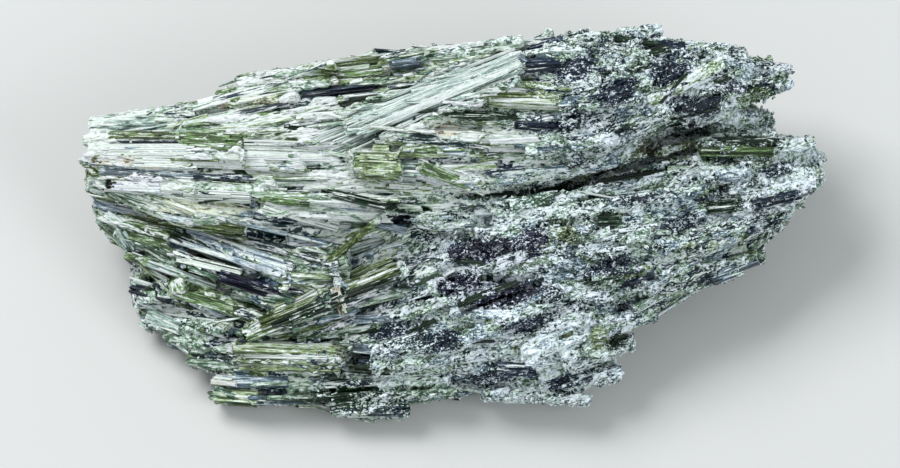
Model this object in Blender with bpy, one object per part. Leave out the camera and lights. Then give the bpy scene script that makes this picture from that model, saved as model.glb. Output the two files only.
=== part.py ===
"""Actinolite crystal: a broken piece of bladed green actinolite, grown together as one solid.

The specimen lies on a flat break, +Z up, with +X along the grain and its broad face looking up and
towards -Y. Places on it are given in face coordinates (u, v, w) in millimetres from the face's
centre: u along +X, v up the broad face and w out of it.
"""

import math
import random

import bmesh
import bpy
from mathutils import Matrix, Vector
from mathutils.bvhtree import BVHTree
from mathutils.geometry import intersect_point_line

NAME = "actinolite_crystal"
MM = 0.001
SEED = 6

# The frame of the specimen
FACE_LEAN = math.radians(25)  # the broad face's tilt from horizontal, towards -Y
FACE_CENTRE_HEIGHT = 9.6  # the face's centre above the flat break, mm
FACE_UP = Vector((0.0, math.cos(FACE_LEAN), math.sin(FACE_LEAN)))
FACE_OUT = Vector((0.0, -math.sin(FACE_LEAN), math.cos(FACE_LEAN)))
FAR = 60.0  # mm, well outside the piece

# The mass: logs lofted through rings (u, lowest v, highest v, deepest w, highest w)
LUMPS = {
    "left_sheaf": (
        (-28.2, 2.4, 7.4, -5.5, -1.4),
        (-24.0, 0.0, 8.4, -7.6, 0.6),
        (-18.0, -1.5, 9.8, -9.0, 2.2),
        (-11.0, -1.5, 11.9, -10.5, 3.4),
        (-3.0, -1.5, 13.2, -11.5, 4.2),
        (4.0, -1.0, 14.1, -11.5, 4.0),
        (10.0, 1.5, 14.3, -10.5, 3.6),
        (15.0, 4.0, 13.6, -9.5, 2.0),
    ),
    "upper_right_lump": (
        (2.0, 4.0, 13.2, -9.0, 4.4),
        (8.0, 4.2, 14.6, -9.5, 5.4),
        (14.0, 5.6, 14.8, -9.0, 5.2),
        (18.5, 7.4, 14.4, -8.5, 3.6),
        (22.5, 9.0, 13.5, -7.5, 1.6),
        (26.2, 10.8, 12.4, -5.5, -1.4),
    ),
    "right_lobe": (
        (3.0, -5.5, 3.6, -10.0, 3.4),
        (10.0, -7.5, 4.6, -10.5, 3.4),
        (15.0, -7.6, 6.0, -10.0, 2.8),
        (20.0, -4.4, 7.6, -9.0, 1.4),
        (25.0, -1.2, 8.0, -7.5, -0.4),
        (29.2, 2.8, 5.4, -5.0, -2.2),
    ),
    "front_mass": (
        (-18.6, -13.6, -8.4, -7.5, -4.0),
        (-13.0, -14.2, -5.0, -9.0, -1.2),
        (-6.0, -14.9, -1.0, -9.5, 1.8),
        (2.0, -13.2, 2.0, -10.0, 3.2),
        (8.0, -14.2, 1.0, -10.0, 2.6),
        (12.8, -11.6, -2.0, -9.0, 1.2),
    ),
    "left_flank": (
        (-25.2, -7.6, -3.4, -9.0, -5.2),
        (-20.5, -10.8, 1.0, -10.5, -2.2),
        (-14.0, -13.0, 1.0, -11.0, 0.8),
        (-8.0, -11.0, 1.0, -10.5, 2.2),
    ),
    "left_rim": (
        (-28.8, 0.8, 3.4, -5.5, -2.8),
        (-26.2, -2.4, 2.0, -7.0, -2.8),
        (-22.5, -5.5, 1.0, -9.0, -2.6),
        (-17.0, -6.5, 0.0, -10.0, -1.6),
    ),
    "bridge": (
        (12.0, 1.0, 8.0, -9.0, -0.5),
        (18.0, 2.5, 9.5, -8.5, -1.8),
        (22.5, 4.5, 10.0, -7.5, -2.8),
        (25.2, 6.0, 9.2, -6.0, -3.4),
    ),
    "heel": (
        (-17.0, -6.0, 6.0, -14.0, -4.0),
        (-9.0, -7.0, 9.0, -17.0, -4.0),
        (2.0, -6.0, 10.0, -17.0, -4.0),
        (10.0, -5.0, 10.0, -16.0, -4.0),
        (16.0, -2.0, 8.0, -13.0, -4.0),
    ),
}
LUMP_SIDES = 9
LUMP_SQUARENESS = 0.8  # 1 is an ellipse, towards 0 a box
LUMP_SWELL = 0.06  # a ring's corners stand in or out by up to this share
LUMP_SHIFT = 0.6  # and lie this far along u from their ring, mm
LUMP_TURN = 0.15  # and are turned round it by up to this, radians
RING_REACH = 6.0  # rings within this far along u count for the middle of the mass, mm

# The grain at places (u, v) of the face: its slope in degrees rising towards +u, and its scatter,
# from 0 for long parallel laths to 1 for short broken grains.
GRAIN = (
    (-25, 7, 2, 0.0), (-15, 11, 8, 0.0), (-5, 12.5, 8, 0.1), (3, 13.5, 12, 0.4),
    (-20, 1, -6, 0.0), (-10, 6, 0, 0.0), (-10, 2, -3, 0.1), (0, 5, -3, 0.2),
    (-24, -2, -22, 0.1), (-18, -4, -25, 0.1), (-12, -4, -14, 0.2), (-20, -8, 5, 0.5),
    (-10, -8, 22, 0.2), (-5, -6, 20, 0.5), (-14, -11, 0, 0.1), (-5, -10, 5, 0.7),
    (-5, -14.5, 3, 0.4), (5, -3, 3, 0.9), (5, -10, 12, 0.9), (10, -14, 14, 0.8),
    (12, -5, 12, 1.0), (12, 2, 8, 0.7), (20, 2, 14, 0.8), (26, 4, 20, 0.7),
    (22, -2, 18, 0.3), (8, 9, 2, 0.5), (13, 11, 5, 0.9), (20, 10, -8, 1.0), (25, 12, -14, 0.8),
)
HIDDEN_SLOPE = 8.0  # on the back and underside the grain slopes by up to this, degrees
HIDDEN_SCATTER = 0.35

# Crystals laid on the broad face: name, (u, v) of both ends, width, thickness and the lift of its
# ends over the mass, all in mm.
LAID_LATHS = (
    ("top_edge_lath", (-17.4, 11.2), (-9.5, 12.5), 1.2, 1.8, (-0.2, 0.0)),
    ("top_edge_lath_middle", (-10.9, 12.2), (-1.1, 13.7), 1.4, 2.0, (0.1, 0.0)),
    ("top_edge_lath_inner", (-5.9, 12.6), (5.4, 14.2), 1.5, 2.2, (0.2, 0.3)),
    ("second_row_lath", (-18.6, 10.2), (-9.9, 11.2), 1.2, 1.6, (0.1, 0.3)),
    ("third_row_lath", (-20.3, 9.4), (-12.3, 10.0), 1.2, 1.6, (0.1, 0.4)),
    ("shoulder_lath", (-29.0, 7.7), (-20.3, 8.8), 1.6, 2.4, (0.0, 0.2)),
    ("left_end_lath", (-29.3, 6.6), (-15.7, 6.8), 1.2, 2.2, (0.3, 0.3)),
    ("white_lath", (-29.0, 5.7), (-16.6, 5.3), 1.5, 2.0, (0.6, 0.5)),
    ("left_tip_lath", (-29.4, 4.7), (-20.3, 4.8), 1.2, 1.8, (0.3, 0.1)),
    ("slate_lath", (-28.5, 4.0), (-13.9, 3.2), 1.3, 2.0, (0.4, 0.3)),
    ("lower_white_lath", (-28.3, 3.1), (-15.4, 2.4), 1.4, 2.0, (0.6, 0.4)),
    ("olive_block", (-21.9, 6.7), (-16.6, 6.1), 1.8, 2.0, (0.7, 0.8)),
    ("rim_lath", (-29.5, 3.3), (-22.1, 0.5), 1.6, 2.0, (0.0, 0.2)),
    ("brown_prism", (-23.5, 0.8), (-16.6, -0.7), 1.5, 2.0, (0.3, 0.5)),
    ("slate_blade", (-22.9, -0.4), (-13.0, -4.0), 1.8, 1.6, (0.1, 0.4)),
    ("dark_blade", (-22.1, -2.0), (-16.3, -4.0), 1.2, 1.4, (0.2, 0.0)),
    ("flank_lath", (-22.7, -3.2), (-13.1, -5.2), 1.4, 2.0, (0.2, 0.3)),
    ("rim_step_upper", (-28.4, 0.5), (-22.4, -1.3), 1.3, 2.4, (0.2, 0.2)),
    ("flank_rim_lath", (-27.0, -0.8), (-20.3, -2.9), 1.5, 2.4, (0.3, 0.2)),
    ("rim_step_lower", (-25.9, -2.7), (-20.6, -4.3), 1.4, 2.4, (0.2, 0.2)),
    ("end_crystal", (-25.4, -6.1), (-21.2, -4.8), 2.6, 3.4, (0.0, 0.3)),
    ("flank_foot_upper", (-24.6, -8.0), (-17.6, -8.6), 1.6, 2.6, (0.2, 0.2)),
    ("flank_foot_lower", (-22.6, -9.3), (-15.8, -10.6), 1.7, 3.0, (0.0, 0.0)),
    ("flank_foot_rim", (-20.8, -10.9), (-14.0, -12.6), 1.6, 3.0, (-0.2, 0.0)),
    ("green_block", (-8.4, 5.0), (-4.2, 4.5), 2.8, 2.4, (0.5, 0.6)),
    ("sloping_green_lath", (-2.9, 4.5), (2.4, 2.8), 1.8, 2.2, (0.4, 0.2)),
    ("short_green_lath", (-4.3, 6.1), (1.3, 5.5), 1.2, 1.8, (0.3, 0.4)),
    ("dark_lath_upper", (-1.9, 8.4), (10.5, 7.9), 1.3, 1.6, (0.1, 0.0)),
    ("dark_lath_lower", (-2.3, 6.9), (8.9, 6.4), 1.2, 1.6, (0.3, 0.2)),
    ("pale_lath_right", (-1.1, 9.6), (8.5, 9.8), 1.2, 1.8, (0.3, 0.2)),
    ("pale_lath_left", (-12.3, 8.4), (-2.7, 8.8), 1.2, 1.8, (0.3, 0.2)),
    ("middle_lath_upper", (-16.3, 2.2), (-4.3, 1.6), 1.3, 2.0, (0.4, 0.5)),
    ("middle_lath_centre", (-15.9, 0.8), (-4.7, 0.6), 1.2, 1.8, (0.5, 0.3)),
    ("middle_lath_lower", (-13.1, -0.8), (-4.3, -0.6), 1.3, 1.8, (0.4, 0.5)),
    ("sheaf_lath_rear", (-9.4, 8.4), (5.1, 14.4), 1.1, 1.6, (0.5, 1.2)),
    ("sheaf_lath_centre", (-8.7, 7.6), (5.6, 13.4), 1.0, 1.8, (0.8, 1.8)),
    ("sheaf_lath_front", (-7.6, 7.1), (5.7, 12.5), 1.1, 1.6, (0.7, 1.7)),
    ("sheaf_lath_outer", (-6.2, 6.6), (5.2, 11.4), 1.0, 1.6, (0.6, 1.2)),
    ("sheaf_splay_rear", (-9.1, 9.6), (0.8, 12.9), 1.1, 1.4, (0.2, 0.8)),
    ("sheaf_splay_front", (-5.3, 6.6), (4.0, 10.6), 1.2, 1.6, (0.6, 0.8)),
    ("olive_diagonal_lower", (-16.9, -9.2), (-9.5, -6.2), 1.7, 2.2, (0.6, 1.0)),
    ("olive_diagonal_upper", (-10.8, -6.2), (-4.0, -3.8), 1.6, 2.2, (1.0, 0.6)),
    ("olive_diagonal_inner", (-11.3, -7.6), (-4.4, -5.2), 1.4, 1.8, (0.6, 0.3)),
    ("needle", (-10.6, -3.8), (-5.3, 0.9), 0.5, 0.6, (1.1, 1.0)),
    ("tan_splinter", (-9.6, -3.2), (-8.7, -7.0), 0.8, 0.9, (1.0, 1.6)),
    ("striated_prism_top", (-17.4, -10.0), (-9.4, -10.3), 1.2, 2.4, (0.9, 1.1)),
    ("striated_prism_middle", (-17.3, -10.9), (-9.0, -11.0), 1.2, 2.6, (1.2, 1.4)),
    ("striated_prism_low", (-17.1, -11.8), (-9.6, -11.8), 1.3, 2.4, (0.9, 1.0)),
    ("pink_lath", (-19.4, -12.6), (-9.9, -13.1), 1.2, 2.4, (0.5, 0.4)),
    ("olive_end_prism", (-19.3, -13.8), (-15.5, -14.2), 1.4, 2.4, (0.2, 0.3)),
    ("bottom_lath", (-16.3, -14.1), (-0.3, -13.4), 1.4, 3.0, (0.0, 0.2)),
    ("bottom_lath_low", (-9.9, -14.8), (-4.0, -14.9), 2.0, 3.0, (0.0, 0.0)),
    ("front_foot", (2.3, -13.6), (10.9, -14.2), 1.4, 3.0, (0.0, 0.0)),
    ("front_corner_lower", (8.6, -12.9), (13.2, -12.0), 1.5, 2.6, (0.0, 0.2)),
    ("front_corner_upper", (8.4, -11.0), (14.3, -9.6), 1.6, 2.6, (0.2, 0.4)),
    ("lobe_corner", (11.4, -8.6), (16.0, -7.2), 1.6, 2.6, (0.2, 0.4)),
    ("front_lath_upper", (-1.1, -6.2), (8.5, -5.6), 1.4, 1.6, (0.2, 0.3)),
    ("front_lath_middle", (-2.3, -10.2), (5.3, -7.6), 1.3, 1.6, (0.3, 0.3)),
    ("front_lath_left", (-6.7, -10.4), (1.3, -9.4), 1.4, 1.6, (0.3, 0.2)),
    ("lobe_lath_upper", (8.5, 0.6), (20.1, 2.6), 1.5, 1.8, (0.3, 0.4)),
    ("lobe_lath_step", (15.3, -2.4), (26.2, 0.9), 1.6, 2.4, (0.3, 0.6)),
    ("lobe_lath_low_step", (18.5, -2.3), (26.6, 0.2), 1.3, 2.4, (0.0, 0.0)),
    ("lobe_lath_foot", (17.9, -4.3), (24.7, -2.6), 1.4, 2.8, (-0.2, -0.4)),
    ("lobe_lath_rim", (15.1, -5.9), (22.6, -3.9), 1.4, 2.8, (-0.2, -0.2)),
    ("lobe_slate", (19.7, 3.4), (23.8, 4.2), 1.4, 1.4, (0.5, 0.5)),
    ("lobe_striated", (22.4, 1.2), (28.9, 3.2), 1.5, 2.0, (0.5, 0.5)),
    ("lobe_tip", (25.6, 4.0), (29.5, 3.7), 1.6, 2.4, (0.2, 0.3)),
    ("bridge_lath", (17.6, 6.2), (25.6, 6.9), 1.4, 2.0, (0.2, 0.2)),
    ("bridge_lath_deep", (19.2, 8.2), (25.2, 8.4), 1.4, 2.0, (0.1, 0.0)),
    ("lobe_top_lath", (19.7, 6.0), (28.6, 6.2), 1.4, 2.2, (0.2, 0.3)),
    ("crest_lath_left", (8.2, 14.0), (16.6, 15.2), 1.5, 2.4, (0.1, 0.4)),
    ("crest_lath_middle", (11.7, 12.8), (19.7, 13.6), 1.3, 1.6, (0.4, 0.4)),
    ("crest_lath_right", (16.1, 14.2), (23.5, 13.4), 1.5, 2.2, (0.1, 0.2)),
    ("upper_tip_lath", (20.1, 13.2), (26.7, 11.9), 1.6, 2.4, (0.0, 0.2)),
    ("upper_tip_underside", (21.0, 10.4), (26.4, 11.3), 1.4, 2.2, (0.0, 0.2)),
    ("lump_lath_left", (8.5, 9.2), (14.9, 10.1), 1.4, 1.6, (0.3, 0.4)),
    ("lump_lath_right", (14.9, 8.6), (22.3, 9.6), 1.3, 1.6, (0.3, 0.3)),
    ("lump_brow", (6.1, 5.8), (13.3, 6.8), 1.6, 2.4, (0.3, 0.4)),
)

# Clefts and pits, as for the laths: the depth under the mass's surface takes the place of thickness
CLEFTS = (
    ("fissure_left", (0.0, 2.2), (8.4, 2.9), 0.55, 3.0),
    ("fissure_middle", (7.2, 2.6), (12.8, 4.2), 0.8, 5.0),
    ("fissure_right", (11.6, 3.9), (19.5, 5.9), 0.9, 5.0),
    ("cave_behind_fissure", (15.6, 6.6), (20.6, 7.4), 1.9, 4.0),
    ("cleft_beside_sheaf", (5.7, 13.5), (7.4, 13.9), 1.1, 3.2),
    ("cleft_under_diagonals", (-7.6, -6.9), (-4.2, -5.6), 1.0, 3.0),
    ("cleft_beside_prisms", (-8.7, -11.0), (-6.6, -10.8), 2.2, 2.4),
    ("cleft_above_foot", (-22.0, -3.6), (-15.0, -7.2), 0.9, 2.6),
    ("cleft_in_sheaf", (-10.0, 10.2), (-2.4, 11.0), 0.7, 2.0),
    ("front_gash_upper", (-0.8, -4.6), (6.6, -4.3), 0.6, 2.0),
    ("front_gash_lower", (0.6, -7.2), (7.0, -4.9), 0.7, 2.2),
)

# How far the breaks at the ends lean, in lengths per width
LATH_SLANT, FILL_SLANT, CLEFT_SLANT = 0.5, 0.7, 0.2
SMALLEST_END = 0.85  # an end's cross-section is at least this share of the stated one
GROUND_CLEARANCE = 0.6  # between a stated crystal's axis and the ground, in thicknesses

# A crystal's cross-section, in half widths and half thicknesses
SECTIONS = {
    "full": ((1, 0), (0.5, 1), (-0.5, 1), (-1, 0), (-0.5, -1), (0.5, -1)),
    "cleaved": ((1, 0), (0, 1), (-1, 0), (0, -1)),
    "slab": ((1, -0.7), (0.8, 1), (-1, 0.7), (-0.8, -1)),
}

# The crystals that fill in between the stated ones
SHORTEST_LATH, LONGEST_LATH = 5.0, 13.0  # mm, at scatter 0
SHORTEST_GRAIN, LONGEST_GRAIN = 2.2, 5.5  # mm, at scatter 1
FILL_WIDTHS, FILL_THICKNESSES = (1.0, 1.9), (1.0, 2.0)  # mm
WIDER_SCATTERED, WIDER_BEHIND = 0.5, 0.9  # mm more at scatter 1, and away from the broad face
TURN, TURN_SCATTERED = 4.0, 22.0  # degrees from the grain along the surface, and more at scatter 1
DIP, DIP_SCATTERED = 3.0, 12.0  # degrees into and out of the surface
ROLL, ROLL_SCATTERED = 8.0, 25.0  # degrees about the crystal's own axis
DEEPEST_SINK = 0.35  # mm from the surface down to the crystal's axis
FILL_TRIES = 4200
FILL_SPACING = 1.3  # mm between crystals on the broad face
FILL_SPACING_BEHIND = 2.4
FILL_STRETCH = (-28.0, 28.6)  # along u
LOWEST_FILL = 0.5  # mm above the ground
SHORTEST_FILL = 1.2  # mm, after trimming
TRIM_STEPS = 12  # an end beside the mass is drawn in by this part of the crystal at a time
TRIM_TRIES = 5

# The search for the mass near a place beside it, towards the middle of the face
INWARD_STEPS = 20
INWARD_ALONG = 0.3  # it goes this share of the way along u, and all the way along v

GROUND_BLOCK = 100.0  # the side of the block that makes the flat break, mm
CRYSTAL_COLOUR, CRYSTAL_ROUGHNESS = (0.21, 0.27, 0.24, 1.0), 0.55


def face_point(u, v, w):
    """A place given in face coordinates in mm, as a point in metres."""
    return (Vector((u, 0.0, FACE_CENTRE_HEIGHT)) + FACE_UP * v + FACE_OUT * w) * MM


def face_place(point):
    """The (u, v) of a point."""
    return point.x / MM, (point - face_point(0, 0, 0)).dot(FACE_UP) / MM


def face_direction(angle_deg):
    """A direction along the broad face, rising by this angle towards +u."""
    angle = math.radians(angle_deg)
    return Vector((math.cos(angle), 0.0, 0.0)) + FACE_UP * math.sin(angle)


def grain_at(u, v):
    """The grain's slope and scatter at a place of the face, weighted from the stated ones."""
    slope = scatter = total = 0.0
    for grain_u, grain_v, stated_slope, stated_scatter in GRAIN:
        weight = 1.0 / (1.0 + (u - grain_u) ** 2 + 2.0 * (v - grain_v) ** 2) ** 2
        slope += weight * stated_slope
        scatter += weight * stated_scatter
        total += weight
    return slope / total, scatter / total


def clear_scene():
    for obj in list(bpy.data.objects):
        bpy.data.objects.remove(obj)


def new_collection(name, hidden=False):
    collection = bpy.data.collections.new(name)
    bpy.context.scene.collection.children.link(collection)
    collection.hide_render = hidden
    return collection


def helper_object(bm, name, collection):
    """The bmesh as a helper object, which is left out of renders."""
    bmesh.ops.recalc_face_normals(bm, faces=bm.faces)
    mesh = bpy.data.meshes.new(name)
    bm.to_mesh(mesh)
    bm.free()
    obj = bpy.data.objects.new(name, mesh)
    obj.hide_render = True
    obj.display_type = "WIRE"
    collection.objects.link(obj)
    return obj


def rounded(value):
    """A cosine or sine made fuller, so that a ring has shoulders."""
    return math.copysign(abs(value) ** LUMP_SQUARENESS, value)


def add_lump(name, rings, collection, rng):
    """A rough log lofted through its rings, with flat ends."""
    bm = bmesh.new()
    loops = []
    for u, v_low, v_high, w_low, w_high in rings:
        turn = rng.uniform(-LUMP_TURN, LUMP_TURN)
        loop = []
        for side in range(LUMP_SIDES):
            angle = 2 * math.pi * side / LUMP_SIDES + turn
            swell = 1 + rng.uniform(-LUMP_SWELL, LUMP_SWELL)
            corner = face_point(
                u + rng.uniform(-LUMP_SHIFT, LUMP_SHIFT),
                (v_low + v_high) / 2 + (v_high - v_low) / 2 * swell * rounded(math.cos(angle)),
                (w_low + w_high) / 2 + (w_high - w_low) / 2 * swell * rounded(math.sin(angle)),
            )
            loop.append(bm.verts.new(corner))
        loops.append(loop)
    for near, far in zip(loops, loops[1:]):
        for side in range(LUMP_SIDES):
            after = (side + 1) % LUMP_SIDES
            bm.faces.new((near[side], near[after], far[after], far[side]))
    bm.faces.new(loops[0])
    bm.faces.new(loops[-1])
    bmesh.ops.triangulate(bm, faces=bm.faces)
    return helper_object(bm, name, collection)


def add_boolean(obj, operation, collection):
    modifier = obj.modifiers.new(collection.name, "BOOLEAN")
    modifier.operation = operation
    modifier.operand_type = "COLLECTION"
    modifier.collection = collection
    modifier.solver = "EXACT"


def evaluated_mesh(obj, name):
    """The object's mesh with its modifiers applied."""
    graph = bpy.context.evaluated_depsgraph_get()
    mesh = bpy.data.meshes.new_from_object(obj.evaluated_get(graph))
    mesh.name = name
    return mesh


def fused(collection, name):
    """All the objects of a collection joined in one new mesh, with the collection removed."""
    members = list(collection.objects)
    first = members[0]
    collection.objects.unlink(first)
    bpy.context.scene.collection.objects.link(first)
    add_boolean(first, "UNION", collection)
    mesh = evaluated_mesh(first, name)
    for obj in members:
        bpy.data.objects.remove(obj)
    bpy.data.collections.remove(collection)
    return mesh


def keep_outer_shell(mesh):
    """Removes all but the largest shell, so that gaps closed in under crystals are filled."""
    bm = bmesh.new()
    bm.from_mesh(mesh)
    shells = []
    waiting = set(bm.faces)
    while waiting:
        shell = [waiting.pop()]
        for face in shell:
            for edge in face.edges:
                for beside in edge.link_faces:
                    if beside in waiting:
                        waiting.remove(beside)
                        shell.append(beside)
        shells.append(shell)
    shells.sort(key=len)
    inner = [face for shell in shells[:-1] for face in shell]
    bmesh.ops.delete(bm, geom=inner, context="FACES")
    bm.to_mesh(mesh)
    bm.free()


def add_lath(name, ends, facing, width, thickness, collection, rng,
             section="full", slant=LATH_SLANT):
    """A flattened prism with slanting broken ends, between two points in metres.

    facing is the outward direction of its broad side.
    """
    along = (ends[1] - ends[0]).normalized()
    side = along.cross(facing).normalized()
    facing = side.cross(along)
    bm = bmesh.new()
    loops = []
    for end in ends:
        lean_across = rng.uniform(-slant, slant)
        lean_out = rng.uniform(-slant, slant)
        size = rng.uniform(SMALLEST_END, 1.0)
        loop = []
        for across, out in SECTIONS[section]:
            x = across * width / 2 * MM * size
            y = out * thickness / 2 * MM * size
            z = lean_across * x + lean_out * y
            loop.append(bm.verts.new(end + side * x + facing * y + along * z))
        loops.append(loop)
    for corner in range(len(loops[0])):
        after = (corner + 1) % len(loops[0])
        bm.faces.new((loops[0][corner], loops[0][after], loops[1][after], loops[1][corner]))
    bm.faces.new(loops[0])
    bm.faces.new(loops[1])
    return helper_object(bm, name, collection)


class Mass:
    """The rough mass's surface, for laying crystals on it."""

    def __init__(self, mesh):
        corners = [vert.co for vert in mesh.vertices]
        self.tree = BVHTree.FromPolygons(corners, [face.vertices for face in mesh.polygons])

    def height_at(self, u, v):
        """w of the surface at this place of the face, or None beside the mass."""
        hit, _, _, _ = self.tree.ray_cast(face_point(u, v, FAR), -FACE_OUT)
        if hit is None:
            return None
        return (hit - face_point(u, v, 0)).dot(FACE_OUT) / MM

    def height_near(self, u, v):
        """w at this place of the face, or at the closest place inwards that is over the mass."""
        for step in range(INWARD_STEPS):
            share = step / INWARD_STEPS
            w = self.height_at(u * (1 - INWARD_ALONG * share), v * (1 - share))
            if w is not None:
                return w
        raise ValueError(f"no mass near ({u}, {v})")

    def met_from_outside(self, u, angle):
        """The surface point and its normal, met at this angle round the middle of the mass."""
        centre = face_point(u, *self.middle(u))
        outward = FACE_UP * math.cos(angle) + FACE_OUT * math.sin(angle)
        hit, normal, _, _ = self.tree.ray_cast(centre + outward * FAR * MM, -outward)
        if hit is None:
            return None, None
        return hit, normal if normal.dot(outward) > 0 else -normal

    def middle(self, u):
        """v and w of the middle of the mass at u."""
        rings = [r for lump in LUMPS.values() for r in lump if abs(r[0] - u) < RING_REACH]
        v = (min(r[1] for r in rings) + max(r[2] for r in rings)) / 2
        w = (min(r[3] for r in rings) + max(r[4] for r in rings)) / 2
        return v, w

    def trimmed(self, start, end):
        """The stretch from start to end whose ends are over the mass, as seen on the broad face."""
        step = (end - start) / TRIM_STEPS
        for _ in range(TRIM_TRIES):
            if self.height_at(*face_place(start)) is None:
                start = start + step
            if self.height_at(*face_place(end)) is None:
                end = end - step
        return start, end


def clear_of_ground(v, w, thickness):
    """w, or enough more for a lath at v to lie above the ground."""
    lowest = thickness * GROUND_CLEARANCE
    return max(w, (lowest - FACE_CENTRE_HEIGHT - v * FACE_UP.z) / FACE_OUT.z)


def lay_stated_laths(mass, collection, rng):
    """Lays the stated laths and returns their axes, as pairs of points."""
    axes = []
    for name, first, last, width, thickness, lifts in LAID_LATHS:
        low = clear_of_ground(first[1], mass.height_near(*first) + lifts[0], thickness)
        high = clear_of_ground(last[1], mass.height_near(*last) + lifts[1], thickness)
        ends = (face_point(*first, low), face_point(*last, high))
        add_lath(name, ends, FACE_OUT, width, thickness, collection, rng)
        axes.append(ends)
    return axes


def fill_crystal(place, normal, mass, rng):
    """The ends, facing, width and thickness of one smaller crystal sunk in the surface."""
    seen = normal.dot(FACE_OUT) > 0
    if seen:
        slope, scatter = grain_at(*face_place(place))
    else:
        slope, scatter = rng.uniform(-HIDDEN_SLOPE, HIDDEN_SLOPE), HIDDEN_SCATTER
    turn = TURN + TURN_SCATTERED * scatter
    along = face_direction(slope + rng.uniform(-turn, turn))
    tangent = along - normal * along.dot(normal)
    dip = rng.uniform(-1, 1) * math.radians(DIP + DIP_SCATTERED * scatter)
    along = (tangent.normalized() + normal * math.tan(dip)).normalized()
    shortest = SHORTEST_LATH + (SHORTEST_GRAIN - SHORTEST_LATH) * scatter
    longest = LONGEST_LATH + (LONGEST_GRAIN - LONGEST_LATH) * scatter
    length = rng.uniform(shortest, longest) * MM
    middle = place - normal * rng.uniform(0.0, DEEPEST_SINK) * MM
    ends = mass.trimmed(middle - along * length / 2, middle + along * length / 2)
    roll = rng.uniform(-1, 1) * math.radians(ROLL + ROLL_SCATTERED * scatter)
    facing = Matrix.Rotation(roll, 3, along) @ normal
    width = rng.uniform(*FILL_WIDTHS) + WIDER_SCATTERED * scatter
    if not seen:
        width += WIDER_BEHIND
    return ends, facing, width, rng.uniform(*FILL_THICKNESSES)


def distance_to_axis(point, axis):
    near, share = intersect_point_line(point, *axis)
    if share < 0:
        near = axis[0]
    if share > 1:
        near = axis[1]
    return (point - near).length


def lay_fill(mass, axes, collection, rng):
    """Smaller crystals all round the mass, wherever there is room between the ones before."""
    for count in range(FILL_TRIES):
        u = rng.uniform(*FILL_STRETCH)
        place, normal = mass.met_from_outside(u, rng.uniform(0, 2 * math.pi))
        if place is None or place.z < LOWEST_FILL * MM:
            continue
        spacing = FILL_SPACING if normal.dot(FACE_OUT) > 0 else FILL_SPACING_BEHIND
        if any(distance_to_axis(place, axis) < spacing * MM for axis in axes):
            continue
        ends, facing, width, thickness = fill_crystal(place, normal, mass, rng)
        if (ends[1] - ends[0]).length < SHORTEST_FILL * MM:
            continue
        section = rng.choice(("cleaved", "slab"))
        name = f"fill_crystal_{count}"
        add_lath(name, ends, facing, width, thickness, collection, rng, section, FILL_SLANT)
        axes.append(ends)


def add_clefts(mass, collection, rng):
    for name, first, last, width, depth in CLEFTS:
        low = mass.height_near(*first)
        high = mass.height_near(*last)
        ends = (face_point(*first, low), face_point(*last, high))
        add_lath(name, ends, FACE_OUT, width, 2 * depth, collection, rng, "cleaved", CLEFT_SLANT)


def add_ground_cutter(collection):
    """A block whose top is the flat break that the piece lies on."""
    size = GROUND_BLOCK * MM
    bm = bmesh.new()
    bmesh.ops.create_cube(bm, size=size)
    bmesh.ops.translate(bm, vec=(0, 0, -size / 2), verts=bm.verts)
    return helper_object(bm, "ground_cutter", collection)


def actinolite_material():
    material = bpy.data.materials.new("actinolite")
    material.use_nodes = True
    shader = material.node_tree.nodes["Principled BSDF"]
    shader.inputs["Base Color"].default_value = CRYSTAL_COLOUR
    shader.inputs["Roughness"].default_value = CRYSTAL_ROUGHNESS
    shader.inputs["Metallic"].default_value = 0.0
    return material


def main():
    clear_scene()
    rng = random.Random(SEED)
    shown = new_collection(NAME)
    lumps = new_collection("lumps", hidden=True)
    for name, rings in LUMPS.items():
        add_lump(name, rings, lumps, rng)
    crystal = bpy.data.objects.new(NAME, fused(lumps, NAME))
    shown.objects.link(crystal)

    mass = Mass(crystal.data)
    growth = new_collection("growth", hidden=True)
    axes = lay_stated_laths(mass, growth, rng)
    lay_fill(mass, axes, growth, rng)
    cutters = new_collection("cutters", hidden=True)
    add_clefts(mass, cutters, rng)
    add_ground_cutter(cutters)
    add_boolean(crystal, "UNION", growth)
    add_boolean(crystal, "DIFFERENCE", cutters)

    solid = evaluated_mesh(crystal, NAME)
    crystal.modifiers.clear()
    crystal.data = solid
    keep_outer_shell(solid)
    solid.materials.clear()
    solid.materials.append(actinolite_material())
    for collection in (growth, cutters):
        for obj in list(collection.objects):
            bpy.data.objects.remove(obj)
        bpy.data.collections.remove(collection)


main()
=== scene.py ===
"""The looks of the actinolite crystal: striated laths, broken grains and frosted breaks.

Places on the piece are given in face coordinates (u, v, w) in mm from the centre of its broad
face, as in the part's source: u along +X, v up the broad face, w out of it. All points are worked
out in mm and turned into metres when a mesh is made.
"""
import math

import bpy
import numpy as np
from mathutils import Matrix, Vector
from mathutils.bvhtree import BVHTree


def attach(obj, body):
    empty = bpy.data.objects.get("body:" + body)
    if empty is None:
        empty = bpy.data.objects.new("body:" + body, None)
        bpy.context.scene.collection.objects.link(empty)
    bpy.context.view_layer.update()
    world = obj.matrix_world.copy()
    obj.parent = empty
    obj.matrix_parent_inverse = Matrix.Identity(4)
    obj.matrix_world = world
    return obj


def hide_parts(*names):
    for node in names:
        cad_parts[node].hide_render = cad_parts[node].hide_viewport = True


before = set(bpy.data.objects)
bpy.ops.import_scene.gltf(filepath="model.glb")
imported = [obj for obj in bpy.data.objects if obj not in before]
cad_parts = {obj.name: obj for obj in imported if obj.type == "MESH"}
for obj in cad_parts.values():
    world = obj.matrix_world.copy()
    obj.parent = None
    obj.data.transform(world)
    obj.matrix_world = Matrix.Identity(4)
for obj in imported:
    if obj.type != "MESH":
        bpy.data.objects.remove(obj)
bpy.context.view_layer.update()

NODE = "actinolite_crystal"
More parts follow.
